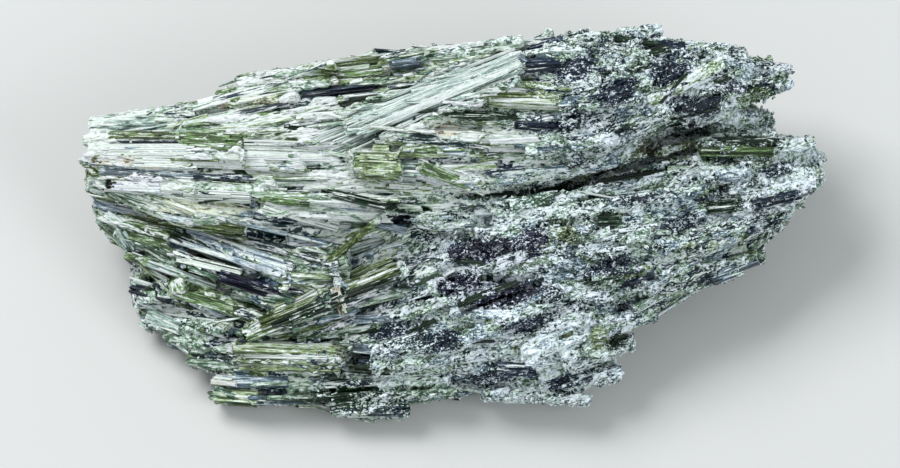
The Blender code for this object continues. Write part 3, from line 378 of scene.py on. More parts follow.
# Patches of one tint: name, (u, v), (half length, half width), slope, tint, frost; each fades out
# at this many times its size, and sooner the more the ground is hidden
PATCH_FADE, PATCH_HIDING = 1.5, 2
PATCHES = (
    ("white_tip", (-28.6, 6.8), (1.1, 0.9), 0, "frost", 0.8),
    ("crumbly_shoulder", (-26.4, 8.0), (2.4, 0.7), 4, "pale", 0.6),
    ("rust_spot_left", (-28.5, 5.0), (0.5, 0.5), 0, "rust", 0.3),
    ("tan_spot_left", (-26.1, 5.0), (0.9, 0.35), 0, "tan", 0.5),
    ("olive_tip", (-29.2, 4.1), (0.9, 0.6), 0, "olive", 0.4),
    # Painted shade: a very dark patch with no frost, standing in for the shadow in a hole
    ("shaded_hole_left", (-27.5, 3.1), (0.5, 0.4), 0, "painted_shade_black", 0.0),
    ("cream_band", (-20.7, 1.2), (4.2, 0.6), -2, "cream", 0.7),
    ("rim_slate", (-28.1, 1.4), (1.6, 0.5), -20, "slate_and_sheen", 0.4),
    ("tan_blob", (-15.1, 9.4), (1.2, 0.7), 10, "cream", 0.5),
    ("rust_spot_top", (-18.5, 9.5), (0.5, 0.5), 0, "tan", 0.4),
    ("navy_shadow_left", (-9.4, 10.5), (3.0, 0.5), 5, "navy", 0.1),
    ("slate_top", (-3.9, 12.6), (1.5, 0.5), 3, "slate_and_sheen", 0.25),
    ("olive_top", (-8.1, 12.3), (2.8, 0.7), 8, "olive", 0.35),
    ("dark_knot", (-3.2, 8.5), (0.9, 0.6), 10, "deep", 0.2),
    ("green_block_bed", (-5.9, 4.7), (1.7, 1.2), 0, "yellow", 0.45),
    ("tan_knot", (-0.6, 7.3), (1.2, 0.6), 0, "tan", 0.5),
    ("yellow_patch", (5.6, 9.8), (3.0, 0.8), 2, "yellow", 0.4),
    ("teal_streak", (2.0, 8.5), (3.2, 0.35), -2, "deep", 0.1),
    ("navy_streak", (6.8, 7.7), (2.0, 0.5), -3, "navy", 0.2),
    ("navy_patch", (4.0, 4.2), (1.8, 0.6), 5, "navy", 0.25),
    ("slate_lens", (7.0, 12.6), (2.0, 0.6), -8, "slate_and_sheen", 0.1),
    # Painted shade: a dark, nearly unfrosted patch in the hole
    ("dark_hole_top", (14.5, 12.3), (0.8, 0.5), 0, "deep", 0.1),
    ("green_spot_top", (24.2, 13.2), (0.5, 0.5), 0, "green", 0.1),
    ("green_tip", (24.0, 9.8), (1.4, 0.9), 10, "green", 0.35),
    ("white_lump", (12.4, 6.3), (0.8, 0.8), 0, "lilac", 0.95),
    # Painted shadow: a very dark patch with no frost where the upper lump's shadow falls into the recess
    ("recess", (18.3, 7.3), (1.6, 0.7), -5, "painted_shade_black", 0.0),
    ("recess_wall", (15.8, 5.8), (1.1, 1.2), 40, "rust", 0.3),
    ("green_stretch", (22.6, 6.0), (3.2, 0.9), 8, "deep", 0.25),
    ("olive_ledge", (17.2, 5.6), (3.4, 0.7), 8, "olive", 0.52),
    ("slate_spot", (22.2, 3.6), (1.3, 0.4), 5, "slate_and_sheen", 0.4),
    ("dark_striated", (26.2, 1.9), (2.4, 0.5), 18, "navy", 0.2),
    ("deep_block_left", (12.3, 0.2), (1.2, 0.8), 0, "deep", 0.15),
    ("deep_block_right", (21.6, 1.3), (1.6, 0.6), 5, "deep", 0.15),
    ("brown_spot", (9.2, -1.0), (0.7, 0.9), 60, "olive", 0.4),
    ("purple_patch_right", (6.4, -1.6), (1.2, 1.3), 10, "purple", 0.22),
    ("purple_patch_upper", (3.0, -2.2), (3.6, 1.0), 3, "purple", 0.28),
    ("purple_patch_middle", (0.4, -5.0), (2.0, 0.9), 5, "purple", 0.26),
    ("purple_patch_lower", (4.0, -5.8), (3.2, 0.9), 12, "purple", 0.24),
    ("white_spray", (-1.3, 9.3), (0.9, 0.8), 20, "frost", 1.0),
    ("sheaf_bed", (-2.6, 9.8), (8.6, 1.1), 24, "pale", 0.62),
    ("navy_upright_left", (9.6, 12.2), (1.7, 1.0), 20, "navy", 0.2),
    ("navy_upright_middle", (13.0, 10.4), (1.8, 0.9), 30, "navy", 0.18),
    ("navy_upright_right", (17.5, 11.9), (2.2, 0.9), -10, "navy", 0.18),
    ("navy_upright_low", (18.8, 9.4), (2.4, 0.8), -15, "navy", 0.16),
    ("navy_tip", (22.4, 10.9), (1.4, 0.5), -20, "navy", 0.3),
    ("navy_lobe_upper", (14.6, 1.8), (1.6, 0.5), 15, "navy", 0.34),
    ("navy_lobe_middle", (18.4, 0.0), (2.0, 0.6), 12, "navy", 0.32),
    ("navy_lobe_end", (26.0, 4.2), (1.4, 0.6), 20, "navy", 0.34),
    ("navy_front_left", (-4.8, -8.6), (2.0, 0.7), 15, "navy", 0.3),
    ("navy_front_middle", (-1.0, -9.4), (1.6, 0.7), 20, "navy", 0.32),
    ("navy_front_right", (5.6, -8.2), (1.8, 0.6), 20, "navy", 0.34),
    ("navy_front_low", (3.0, -12.4), (1.8, 0.6), 15, "navy", 0.32),
    ("navy_front_side", (12.4, -3.4), (1.8, 0.6), 15, "navy", 0.34),
    ("navy_bottom", (8.6, -12.8), (1.4, 0.6), 10, "navy", 0.34),
    ("deep_spot_left", (-19.8, 4.4), (1.3, 0.4), -5, "deep", 0.3),
    ("deep_spot_middle", (-16.5, 4.0), (1.2, 0.35), -5, "deep", 0.3),
    # The patches on this line and the next are painted shade: dark tints laid over the two dug pockets
    ("dark_pocket", (-3.6, 1.1), (1.9, 0.45), -4, "deep", 0.2),
    ("dark_pocket_low", (-4.4, 0.2), (1.4, 0.35), 0, "navy", 0.22),
    ("needle_line", (-8.2, -1.5), (2.6, 0.5), 41, "olive", 0.3),
    ("purple_flank", (-16.4, -4.9), (2.6, 0.7), -20, "purple", 0.2),
    ("dark_flank", (-20.0, -2.2), (3.2, 0.5), -27, "deep", 0.05),
    ("dark_end", (-24.6, -5.0), (0.7, 0.6), 0, "deep", 0.1),
    ("green_end", (-22.2, -5.0), (0.9, 0.8), -15, "green", 0.42),
    ("pale_end", (-23.3, -7.9), (1.4, 0.7), 0, "pale", 0.7),
    ("green_bottom", (-8.4, -14.0), (4.2, 0.8), 0, "deep", 0.42),
    ("pink_tip", (-18.4, -12.6), (1.2, 0.5), 0, "tan", 0.8),
    ("yellow_grain_left", (9.0, -8.8), (0.5, 0.4), 0, "yellow", 0.2),
    ("yellow_grain_right", (11.6, -9.2), (0.8, 0.9), 0, "yellow", 0.25),
    ("dark_grain_right", (13.2, -9.3), (0.7, 0.8), 0, "deep", 0.3),
)


def to_space(u, v, w):
    """Points in mm from face coordinates."""
    u, v, w = (np.asarray(value, float)[..., None] for value in (u, v, w))
    return FACE_CENTRE + u * ALONG + v * UP + w * OUT


def to_face(points):
    """The u, v and w of points in mm."""
    offset = points - FACE_CENTRE
    return offset @ ALONG, offset @ UP, offset @ OUT


def unit(vectors):
    return vectors / np.maximum(np.linalg.norm(vectors, axis=-1, keepdims=True), 1e-9)


def dots(a, b):
    return (a * b).sum(axis=-1, keepdims=True)


def zone_weights(u, v):
    """How much each zone counts at each place; every row adds up to 1."""
    gaps = np.stack((u[:, None] - ZONE_PLACES[:, 0], v[:, None] - ZONE_PLACES[:, 1]), axis=-1)
    distance = ((gaps / ZONE_REACH) ** 2).sum(axis=2)
    nearest = distance.min(axis=1, keepdims=True)
    weights = np.exp((nearest - distance) / (ZONE_BLEND + ZONE_BLEND_OUTSIDE * nearest))
    return weights / weights.sum(axis=1, keepdims=True)


def agreeing_starts(axes):
    """A start for each zone's own measure along its axis, so that neighbouring zones agree."""
    rows, wanted = [np.eye(len(ZONES))[0]], [0.0]
    for i, first in enumerate(ZONE_PLACES):
        for j in range(i):
            gap = np.linalg.norm((first - ZONE_PLACES[j]) / ZONE_REACH)
            if gap > ZONE_NEIGHBOURS:
                continue
            middle = (first + ZONE_PLACES[j]) / 2
            weight = math.exp(-gap)
            row = np.zeros(len(ZONES))
            row[i], row[j] = weight, -weight
            rows.append(row)
            wanted.append(weight * ((middle - ZONE_PLACES[j]) @ axes[j] - (middle - first) @ axes[i]))
    return np.linalg.lstsq(np.array(rows), np.array(wanted), rcond=None)[0]


ZONE_ALONG = np.stack((np.cos(ZONE_SLOPES), np.sin(ZONE_SLOPES)), axis=1)
ZONE_ACROSS = np.stack((-np.sin(ZONE_SLOPES), np.cos(ZONE_SLOPES)), axis=1)
STARTS_ALONG = agreeing_starts(ZONE_ALONG)
STARTS_ACROSS = agreeing_starts(ZONE_ACROSS)


def distance_to_path(u, v, places):
    """How far each place is from a line through given places."""
    nearest = np.full(len(u), FAR)
    here = np.stack((u, v), axis=1)
    for start, end in zip(places[:-1], places[1:]):
        along = end - start
        share = np.clip((here - start) @ along / (along @ along), 0, 1)
        gap = np.linalg.norm(here - start - share[:, None] * along, axis=1)
        nearest = np.minimum(nearest, gap)
    return nearest


class Ground:
    """What the piece is like at each of many points in mm."""

    levels = None  # the broad face's w on a grid of places, set by main()

    def __init__(self, points):
        u, v, w = to_face(points)
        hidden = self.hidden_share(u, v, w)
        weights = zone_weights(u, v)
        gaps = np.stack((u, v), axis=1)[:, None] - ZONE_PLACES
        along = (gaps * ZONE_ALONG).sum(axis=2) + STARTS_ALONG
        across = (gaps * ZONE_ACROSS).sum(axis=2) + STARTS_ACROSS
        self.grain = np.stack(((weights * along).sum(axis=1), (weights * across).sum(axis=1), w), axis=1)
        self.slope = weights @ ZONE_SLOPES
        self.scatter = weights @ ZONE_SCATTERS
        self.shares = weights @ ZONE_SHARES
        self.frost = weights @ ZONE_FROSTS
        self.frost += (HIDDEN_FROST - self.frost) * hidden
        self.shares += (HIDDEN_SHARES - self.shares) * hidden[:, None]
        self.lay_patches(u, v, hidden)
        # The crack's depth: dug into the relief, and also painted as shade in the colour
        self.crack = np.zeros(len(u))
        for _, places, half_width, deep in CRACKS:
            gap = distance_to_path(u, v, np.array(places))
            profile = deep * np.exp(-(gap / half_width) ** 2) * (1 - hidden)
            self.crack = np.maximum(self.crack, profile)

    def hidden_share(self, u, v, w):
        """0 on the broad face, up to 1 on the sides that it hides."""
        column, row = (
            np.rint((np.clip(value, -reach, reach) + reach) / LEVEL_STEP).astype(int)
            for value, reach in zip((u, v), LEVEL_REACH)
        )
        depth = self.levels[column, row] - w
        return np.clip((depth - HIDDEN_DEPTH) / HIDDEN_FADE, 0, 1)

    def lay_patches(self, u, v, hidden):
        """Gives each point in a patch that patch's tint and frost, and how strongly."""
        self.own_tint = np.zeros((len(u), 3))
        self.own_frost = np.zeros(len(u))
        self.own = np.zeros(len(u))
        for _, (at_u, at_v), (half_length, half_width), slope, name, frost in PATCHES:
            angle = math.radians(slope)
            far = (u - at_u) * math.cos(angle) + (v - at_v) * math.sin(angle)
            off = (v - at_v) * math.cos(angle) - (u - at_u) * math.sin(angle)
            strength = PATCH_FADE - np.hypot(far / half_length, off / half_width)
            strength = strength - PATCH_HIDING * hidden
            here = strength > self.own
            self.own[here] = strength[here]
            self.own_tint[here] = TINTS[name]
            self.own_frost[here] = frost
        self.own = np.clip(self.own, 0, 1)

    def settle(self, rng, spread):
        """Gives each point one tint of its own, by the shares of its ground."""
        number = len(self.own)
        levels = self.shares.cumsum(axis=1)
        family = (levels < rng.random((number, 1))).sum(axis=1)
        first, second = (FAMILY_TABLE[family, side] for side in (0, 1))
        tint = first + (second - first) * rng.random((number, 1))
        free = self.own < 0.5
        self.own_tint[free] = tint[free]
        self.own_frost[free] = self.frost[free]
        self.own_frost = self.own_frost + rng.normal(0, spread, number)
        self.own = np.ones(number)

    def state(self, name, frost, rng, spread, calm):
        """Gives all points one tint and about one frost, and calms their scatter."""
        self.own_tint[:] = TINTS[name]
        self.own_frost = frost + rng.normal(0, spread, len(self.own))
        self.own[:] = 1
        self.scatter = self.scatter * calm

    def picked(self, keep):
        """The same for some of the points."""
        part = object.__new__(Ground)
        for key, values in vars(self).items():
            setattr(part, key, values[keep])
        return part


class Solid:
    """The CAD solid's surface in mm, for laying crystals on it."""

    REACH = 3.0  # how far in mm a point may be moved to meet the surface

    def __init__(self, obj):
        faces = [face.vertices[:] for face in obj.data.polygons]
        self.tree = BVHTree.FromPolygons(mesh_points(obj.data).tolist(), faces)

    def hit(self, origin, direction, reach):
        """The first point on the surface along a ray, or None."""
        return self.tree.ray_cast(Vector(origin), Vector(direction), reach)[0]

    def surface_at(self, points, normals):
        """Each point moved along its normal to the surface, and whether it met it in reach."""
        moved = points.copy()
        met = np.zeros(len(points), bool)
        for index, (point, normal) in enumerate(zip(points, normals)):
            hit = self.hit(point + normal * self.REACH, -normal, 2 * self.REACH)
            if hit is not None:
                moved[index] = hit
                met[index] = True
        return moved, met

    def face_height(self, u, v):
        """w of the surface at a place of the broad face, or None beside the piece."""
        hit = self.hit(to_space(u, v, FAR), -OUT, 2 * FAR)
        return None if hit is None else float((np.array(hit) - FACE_CENTRE) @ OUT)

    def known_heights(self, places, shares):
        """Rows of share and w, for the places that are on the piece."""
        heights = [self.face_height(*place) for place in places]
        return np.array([pair for pair in zip(shares, heights) if pair[1] is not None])

    def face_levels(self):
        """The broad face's w on a grid, each the highest of nine places; low beside the piece."""
        columns, rows = (np.arange(-far, far + LEVEL_STEP / 2, LEVEL_STEP) for far in LEVEL_REACH)
        levels = np.full((len(columns) + 2, len(rows) + 2), -FAR)
        for i, u in enumerate(columns):
            for j, v in enumerate(rows):
                height = self.face_height(u, v)
                if height is not None:
                    levels[i + 1, j + 1] = height
        spans = [slice(0, -2), slice(1, -1), slice(2, None)]
        return np.max([levels[first, second] for first in spans for second in spans], axis=0)


def evaluated_copy(data, name, modifiers):
    """A new mesh from a mesh with modifiers applied, each a (type, settings) pair."""
    copy = bpy.data.objects.new(name, data.copy())
    bpy.context.scene.collection.objects.link(copy)
    for kind, settings in modifiers:
        modifier = copy.modifiers.new(kind, kind)
        for key, value in settings.items():
            setattr(modifier, key, value)
    graph = bpy.context.evaluated_depsgraph_get()
    mesh = bpy.data.meshes.new_from_object(copy.evaluated_get(graph))
    bpy.data.objects.remove(copy)
    return mesh


def mesh_points(mesh):
    points = np.empty(len(mesh.vertices) * 3)
    mesh.vertices.foreach_get("co", points)
    return points.reshape(-1, 3) / MM


def add_attribute(mesh, name, values):
    """A value per vertex: numbers, or vectors for rows of three."""
    kind, key = ("FLOAT", "value") if values.ndim == 1 else ("FLOAT_VECTOR", "vector")
    attribute = mesh.attributes.new(name, kind, "POINT")
    attribute.data.foreach_set(key, np.ascontiguousarray(values, np.float32).ravel())


def add_ground(mesh, ground, grain):
    """The attributes that the crystal material and the relief read."""
    add_attribute(mesh, "grain", grain)
    add_attribute(mesh, "shares", ground.shares)
    add_attribute(mesh, "own_tint", ground.own_tint)
    texture = np.stack((ground.scatter, ground.frost, ground.own), axis=1)
    add_attribute(mesh, "texture", texture)
    add_attribute(mesh, "own_frost", ground.own_frost)
    add_attribute(mesh, "crack", ground.crack)


def finish_piece(name, mesh, material):
    """Adds the mesh to the scene as a piece that rides on the body."""
    mesh.materials.clear()
    mesh.materials.append(material)
    mesh.polygons.foreach_set("use_smooth", np.zeros(len(mesh.polygons), bool))
    obj = bpy.data.objects.new(name, mesh)
    bpy.context.scene.collection.objects.link(obj)
    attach(obj, BODY)
    return obj


class Skin:
    """A smoothed outer surface, for spreading crystals evenly over the piece."""

    def __init__(self, obj):
        mesh = evaluated_copy(obj.data, "skin", (
            ("REMESH", dict(mode="VOXEL", voxel_size=SKIN_VOXEL)),
            ("SMOOTH", dict(factor=0.7, iterations=6)),
            ("TRIANGULATE", {}),
        ))
        corners = np.empty(len(mesh.polygons) * 3, int)
        mesh.polygons.foreach_get("vertices", corners)
        corners = corners.reshape(-1, 3)
        normals = np.empty(len(mesh.vertices) * 3)
        mesh.vertex_normals.foreach_get("vector", normals)
        self.corners = mesh_points(mesh)[corners]
        self.normals = unit(normals.reshape(-1, 3)[corners])
        first, second, third = (self.corners[:, side] for side in range(3))
        area = np.linalg.norm(np.cross(second - first, third - first), axis=1)
        self.share = area / area.sum()
        bpy.data.meshes.remove(mesh)

    def scatter(self, count, rng):
        """Points spread over the surface, and the outward normal at each."""
        chosen = rng.choice(len(self.share), count, p=self.share)
        a = np.sqrt(rng.random((count, 1)))
        b = rng.random((count, 1))
        weights = np.stack((1 - a, a * (1 - b), a * b), axis=1)
        points = (self.corners[chosen] * weights).sum(axis=1)
        return points, unit((self.normals[chosen] * weights).sum(axis=1))


def grain_directions(normals, slopes, spread, rng):
    """Directions along the grain and the surface, each turned by up to its spread in degrees."""
    angle = (slopes + np.radians(rng.uniform(-1, 1, len(slopes)) * spread))[:, None]
    direction = np.cos(angle) * ALONG + np.sin(angle) * UP
    return unit(direction - normals * dots(direction, normals))


class Graph:
    """Small helpers that add nodes to a material's tree or to a modifier's."""

    def __init__(self, tree):
        self.tree = tree
        self.in_material = tree.bl_idname == "ShaderNodeTree"

    def node(self, kind, **settings):
        made = self.tree.nodes.new(kind)
        for key, value in settings.items():
            setattr(made, key, value)
        return made

    def put(self, value, target):
        """Links a socket, or sets a value, on an input."""
        if isinstance(value, bpy.types.NodeSocket):
            self.tree.links.new(value, target)
        else:
            target.default_value = value

    def attribute(self, name, vector=True):
        if self.in_material:
            made = self.node("ShaderNodeAttribute", attribute_name=name)
            return made.outputs["Vector" if vector else "Fac"]
        kind = "FLOAT_VECTOR" if vector else "FLOAT"
        made = self.node("GeometryNodeInputNamedAttribute", data_type=kind)
        made.inputs["Name"].default_value = name
        return made.outputs["Attribute"]

    def parts(self, vector):
        made = self.node("ShaderNodeSeparateXYZ")
        self.put(vector, made.inputs[0])
        return made.outputs

    def vector_math(self, operation, first, second, slot=1):
        made = self.node("ShaderNodeVectorMath", operation=operation)
        self.put(first, made.inputs[0])
        self.put(second, made.inputs[slot])
        return made.outputs[0]

    def noise(self, vector, scale, detail=3.0, roughness=0.6):
        made = self.node("ShaderNodeTexNoise")
        self.put(self.vector_math("MULTIPLY", vector, scale), made.inputs["Vector"])
        made.inputs["Scale"].default_value = 1.0
        made.inputs["Detail"].default_value = detail
        made.inputs["Roughness"].default_value = roughness
        return made.outputs["Fac"]

    def cells(self, vector, scale, feature="F1"):
        """Random values for each cell, or the distance to the edge between cells."""
        made = self.node("ShaderNodeTexVoronoi", feature=feature)
        self.put(self.vector_math("MULTIPLY", vector, scale), made.inputs["Vector"])
        made.inputs["Scale"].default_value = 1.0
        return self.parts(made.outputs["Color"]) if feature == "F1" else made.outputs["Distance"]

    def math(self, operation, *values):
        made = self.node("ShaderNodeMath", operation=operation)
        for slot, value in enumerate(values):
            self.put(value, made.inputs[slot])
        return made.outputs[0]

    def scaled(self, value, amount):
        return self.math("MULTIPLY", value, amount)

    def centred(self, value, amount):
        """A value from 0 to 1 as amount times its distance from the middle."""
        return self.math("MULTIPLY_ADD", value, amount, -amount / 2)

    def total(self, first, *others):
        for other in others:
            first = self.math("ADD", first, other)
        return first

    def blend(self, share, low, high):
        made = self.node("ShaderNodeMix", data_type="FLOAT")
        for slot, value in enumerate((share, low, high)):
            self.put(value, made.inputs[(0, 2, 3)[slot]])
        return made.outputs[0]

    def mix(self, share, low, high, blend="MIX"):
        """Colours mixed; a linear colour is a row of three."""
        made = self.node("ShaderNodeMix", data_type="RGBA", blend_type=blend)
        for slot, value in ((0, share), (6, low), (7, high)):
            self.put((*value, 1) if isinstance(value, np.ndarray) else value, made.inputs[slot])
        return made.outputs[2]

    def shaded(self, colour, value):
        """A colour times a value."""
        grey = self.node("ShaderNodeCombineXYZ")
        for channel in range(3):
            self.put(value, grey.inputs[channel])
        return self.mix(1.0, colour, grey.outputs[0], "MULTIPLY")

    def ramp(self, value, low, high, out_low=0.0, out_high=1.0):
        made = self.node("ShaderNodeMapRange", interpolation_type="SMOOTHSTEP")
        self.put(value, made.inputs["Value"])
        for slot, number in enumerate((low, high, out_low, out_high)):
            made.inputs[slot + 1].default_value = number
        return made.outputs["Result"]


class Pattern:
    """The crystals' own pattern in grain coordinates, the same for the relief and the colours."""

    def __init__(self, graph):
        self.grain = graph.attribute("grain")
        self.lath = graph.cells(self.grain, LATH_CELL)
        self.strip = graph.cells(self.grain, STRIP_CELL)
        self.clump = graph.cells(self.grain, CLUMP_CELL)
        self.crumb = graph.cells(self.grain, CRUMB_CELL)
        self.lath_gap = graph.cells(self.grain, LATH_CELL, "DISTANCE_TO_EDGE")
        self.cloud = graph.noise(self.grain, CLOUD_WAVE)
        self.swell = graph.noise(self.grain, SWELL_WAVE, 1.0)
        wander = graph.noise(self.grain, WANDER_WAVE, 1.5)
        self.vein = self.line(graph, wander, VEIN_LEVEL, VEIN_WIDTH)
        self.slot = self.line(graph, wander, SLOT_LEVEL, SLOT_WIDTH)
        self.crack = graph.attribute("crack", vector=False)
        self.scatter, self.frost, self.own = tuple(graph.parts(graph.attribute("texture")))
        rough_edge = graph.centred(self.clump[0], LOOSE_RAGGED)
        self.loose = graph.ramp(graph.total(self.scatter, rough_edge), LOOSE_FROM, LOOSE_BY)

    @staticmethod
    def line(graph, value, level, half_width):
        """1 along the contour where a value passes a level, and 0 away from it."""
        away = graph.math("ABSOLUTE", graph.math("SUBTRACT", value, level))
        return graph.ramp(away, 0.0, half_width, 1.0, 0.0)


def relief_modifier():
    """Raises laths, strips, clumps and crumbs of crystal from a mesh with ground attributes."""
    tree = bpy.data.node_groups.new("relief", "GeometryNodeTree")
    for side in ("INPUT", "OUTPUT"):
        tree.interface.new_socket("Geometry", in_out=side, socket_type="NodeSocketGeometry")
    g = Graph(tree)
    p = Pattern(g)
    parallel_height = g.total(
        g.centred(p.lath[2], LATH_STEP),
        g.centred(p.strip[2], STRIP_STEP),
        g.ramp(p.lath_gap, 0.0, LATH_GAP_WIDTH, -LATH_GAP, 0.0),
    )
    crumb_gap = g.cells(p.grain, CRUMB_CELL, "DISTANCE_TO_EDGE")
    loose_height = g.total(
        g.centred(p.clump[2], CLUMP_STEP),
        g.centred(p.crumb[2], CRUMB_STEP),
        g.centred(p.cloud, CLOUD_STEP),
        g.ramp(crumb_gap, 0.0, CRUMB_GAP_WIDTH, -CRUMB_GAP, 0.0),
        g.scaled(p.vein, VEIN_RISE),
        g.scaled(p.slot, -SLOT_DEPTH),
    )
    height = g.math("SUBTRACT", g.blend(p.loose, parallel_height, loose_height), p.crack)
    normal = g.node("GeometryNodeInputNormal").outputs[0]
    place = g.node("GeometryNodeSetPosition")
    g.put(g.node("NodeGroupInput").outputs[0], place.inputs["Geometry"])
    g.put(g.vector_math("SCALE", normal, g.scaled(height, MM), "Scale"), place.inputs["Offset"])
    g.put(place.outputs[0], g.node("NodeGroupOutput").inputs[0])
    return tree


def family_tint(g, p, shares):
    """A tint for each cell, of the family that falls to it by the shares of its ground."""
    pick = g.blend(p.loose, p.lath[0], p.clump[0])
    vary = g.blend(p.loose, p.strip[1], p.crumb[1])
    edges = {"green": shares[0], "slate_and_sheen": g.total(shares[0], shares[1]), "dark": g.total(*shares)}
    tint = g.mix(vary, *FAMILIES["pale"])
    for family in ("dark", "slate_and_sheen", "green"):
        inside = g.math("LESS_THAN", pick, edges[family])
        tint = g.mix(inside, tint, g.mix(vary, *FAMILIES[family]))
    return tint


def frosting(g, p, fibre, speck, frost):
    """How frosted each spot is: streaked where the grain is parallel, speckled where it is loose."""
    parallel = g.total(
        g.centred(p.lath[1], PARALLEL_TONE["lath"]),
        g.centred(p.strip[0], PARALLEL_TONE["strip"]),
        g.math("MULTIPLY", g.centred(fibre, PARALLEL_TONE["fibre"]), g.ramp(frost, *CALM_RAMP)),
    )
    # Bright specks: partly white powder on the frost, partly painted glints of light
    powder_and_glint = g.ramp(g.noise(p.grain, POWDER_AND_GLINT_WAVE, 1.0), *POWDER_AND_GLINT_RAMP)
    loose = g.total(
        g.centred(p.swell, LOOSE_TONE["swell"]),
        g.centred(p.cloud, LOOSE_TONE["cloud"]),
        g.centred(p.crumb[0], LOOSE_TONE["crumb"]),
        g.centred(fibre, LOOSE_TONE["fibre"]),
        g.math("MULTIPLY_ADD", powder_and_glint, LOOSE_TONE["powder_and_glint"], LOOSE_TONE["between"]),
        # Painted highlight along the raised veins, and painted shade in the dug slots
        g.scaled(p.vein, LOOSE_TONE["vein"]),
        g.scaled(p.slot, LOOSE_TONE["slot"]),
    )
    powder = g.math("MULTIPLY", g.centred(speck, POWDER), g.math("MULTIPLY_ADD", p.loose, *POWDER_LOOSE))
    tone = g.total(frost, g.blend(p.loose, parallel, loose), powder)
    # Painted shade: the tone is lowered in the gaps between laths where the grain is parallel, and along
    # the cracks, which darkens the colour there
    gaps = g.math("MULTIPLY", g.ramp(p.lath_gap, *GAP_SHADE_RAMP), g.math("SUBTRACT", 1.0, p.loose))
    return g.math("SUBTRACT", tone, g.total(gaps, p.crack))


def frost_colour(g, p, fibre, speck, shares):
    """White to silvery frost, thinner along some fibres."""
    silvery = g.ramp(g.total(shares[1], shares[2], g.centred(p.cloud, SILVERY_CLOUD)), *SILVERY_RAMP)
    loose = g.mix(silvery, LOOSE_FROST, LOOSE_SILVER)
    colour = g.mix(p.loose, g.mix(p.lath[2], FROST, SILVER), loose)
    cover = g.total(g.centred(fibre, COVER_FIBRE), g.centred(speck, COVER_SPECK))
    return g.shaded(colour, g.ramp(cover, *COVER_RAMP))


def crystal_material(name):
    """Glassy amphibole in several tints, streaked along its grain and frosted in places."""
    material = bpy.data.materials.new(name)
    material.use_nodes = True
    g = Graph(material.node_tree)
    shader = g.tree.nodes["Principled BSDF"]
    p = Pattern(g)
    fibre = g.noise(p.grain, FIBRE_WAVE, 3.0, 0.65)
    speck = g.noise(p.grain, SPECK_WAVE, 3.0, 0.75)
    shares = g.parts(g.attribute("shares"))
    ragged = g.total(p.own, g.centred(fibre, OWN_FIBRE), g.centred(speck, OWN_SPECK))
    own = g.ramp(ragged, *OWN_RAMP)
    tint = g.mix(own, family_tint(g, p, shares), g.attribute("own_tint"))
    frost = g.blend(own, p.frost, g.attribute("own_frost", vector=False))
    tone = frosting(g, p, fibre, speck, frost)
    glass = g.shaded(tint, g.ramp(tone, *GLASS_SHADE_RAMP))
    frosted = g.ramp(tone, *FROSTED_RAMP)
    colour = g.mix(frosted, glass, frost_colour(g, p, fibre, speck, shares))
    g.put(colour, shader.inputs["Base Color"])
    g.put(g.blend(frosted, GLASS_ROUGHNESS, FROST_ROUGHNESS), shader.inputs["Roughness"])
    shader.inputs["IOR"].default_value = CRYSTAL_IOR
    shader.inputs["Specular IOR Level"].default_value = CRYSTAL_SPECULAR
    bump = g.node("ShaderNodeBump")
    bump.inputs["Strength"].default_value = BUMP_STRENGTH
    bump.inputs["Distance"].default_value = BUMP_HEIGHT
    g.put(g.total(fibre, speck, g.scaled(frosted, FROST_BUMP)), bump.inputs["Height"])
    g.put(bump.outputs[0], shader.inputs["Normal"])
    return material


def build_mass(node):
    """The piece's own surface: the CAD form broken up into laths, clumps and crumbs."""
    mesh = evaluated_copy(node.data, "mass", (("REMESH", dict(mode="VOXEL", voxel_size=MASS_VOXEL)),))
    ground = Ground(mesh_points(mesh))
    add_ground(mesh, ground, ground.grain)
    light = evaluated_copy(mesh, "mass", (
        ("NODES", dict(node_group=relief_modifier())),
        ("TRIANGULATE", {}),
        ("DECIMATE", dict(ratio=min(1.0, MASS_TRIANGLES / (2 * len(mesh.polygons))))),
    ))
    points = mesh_points(light)
    points[:, 2] = np.maximum(points[:, 2], 0.0)
    light.vertices.foreach_set("co", (points * MM).ravel())
    light.update()
    return light


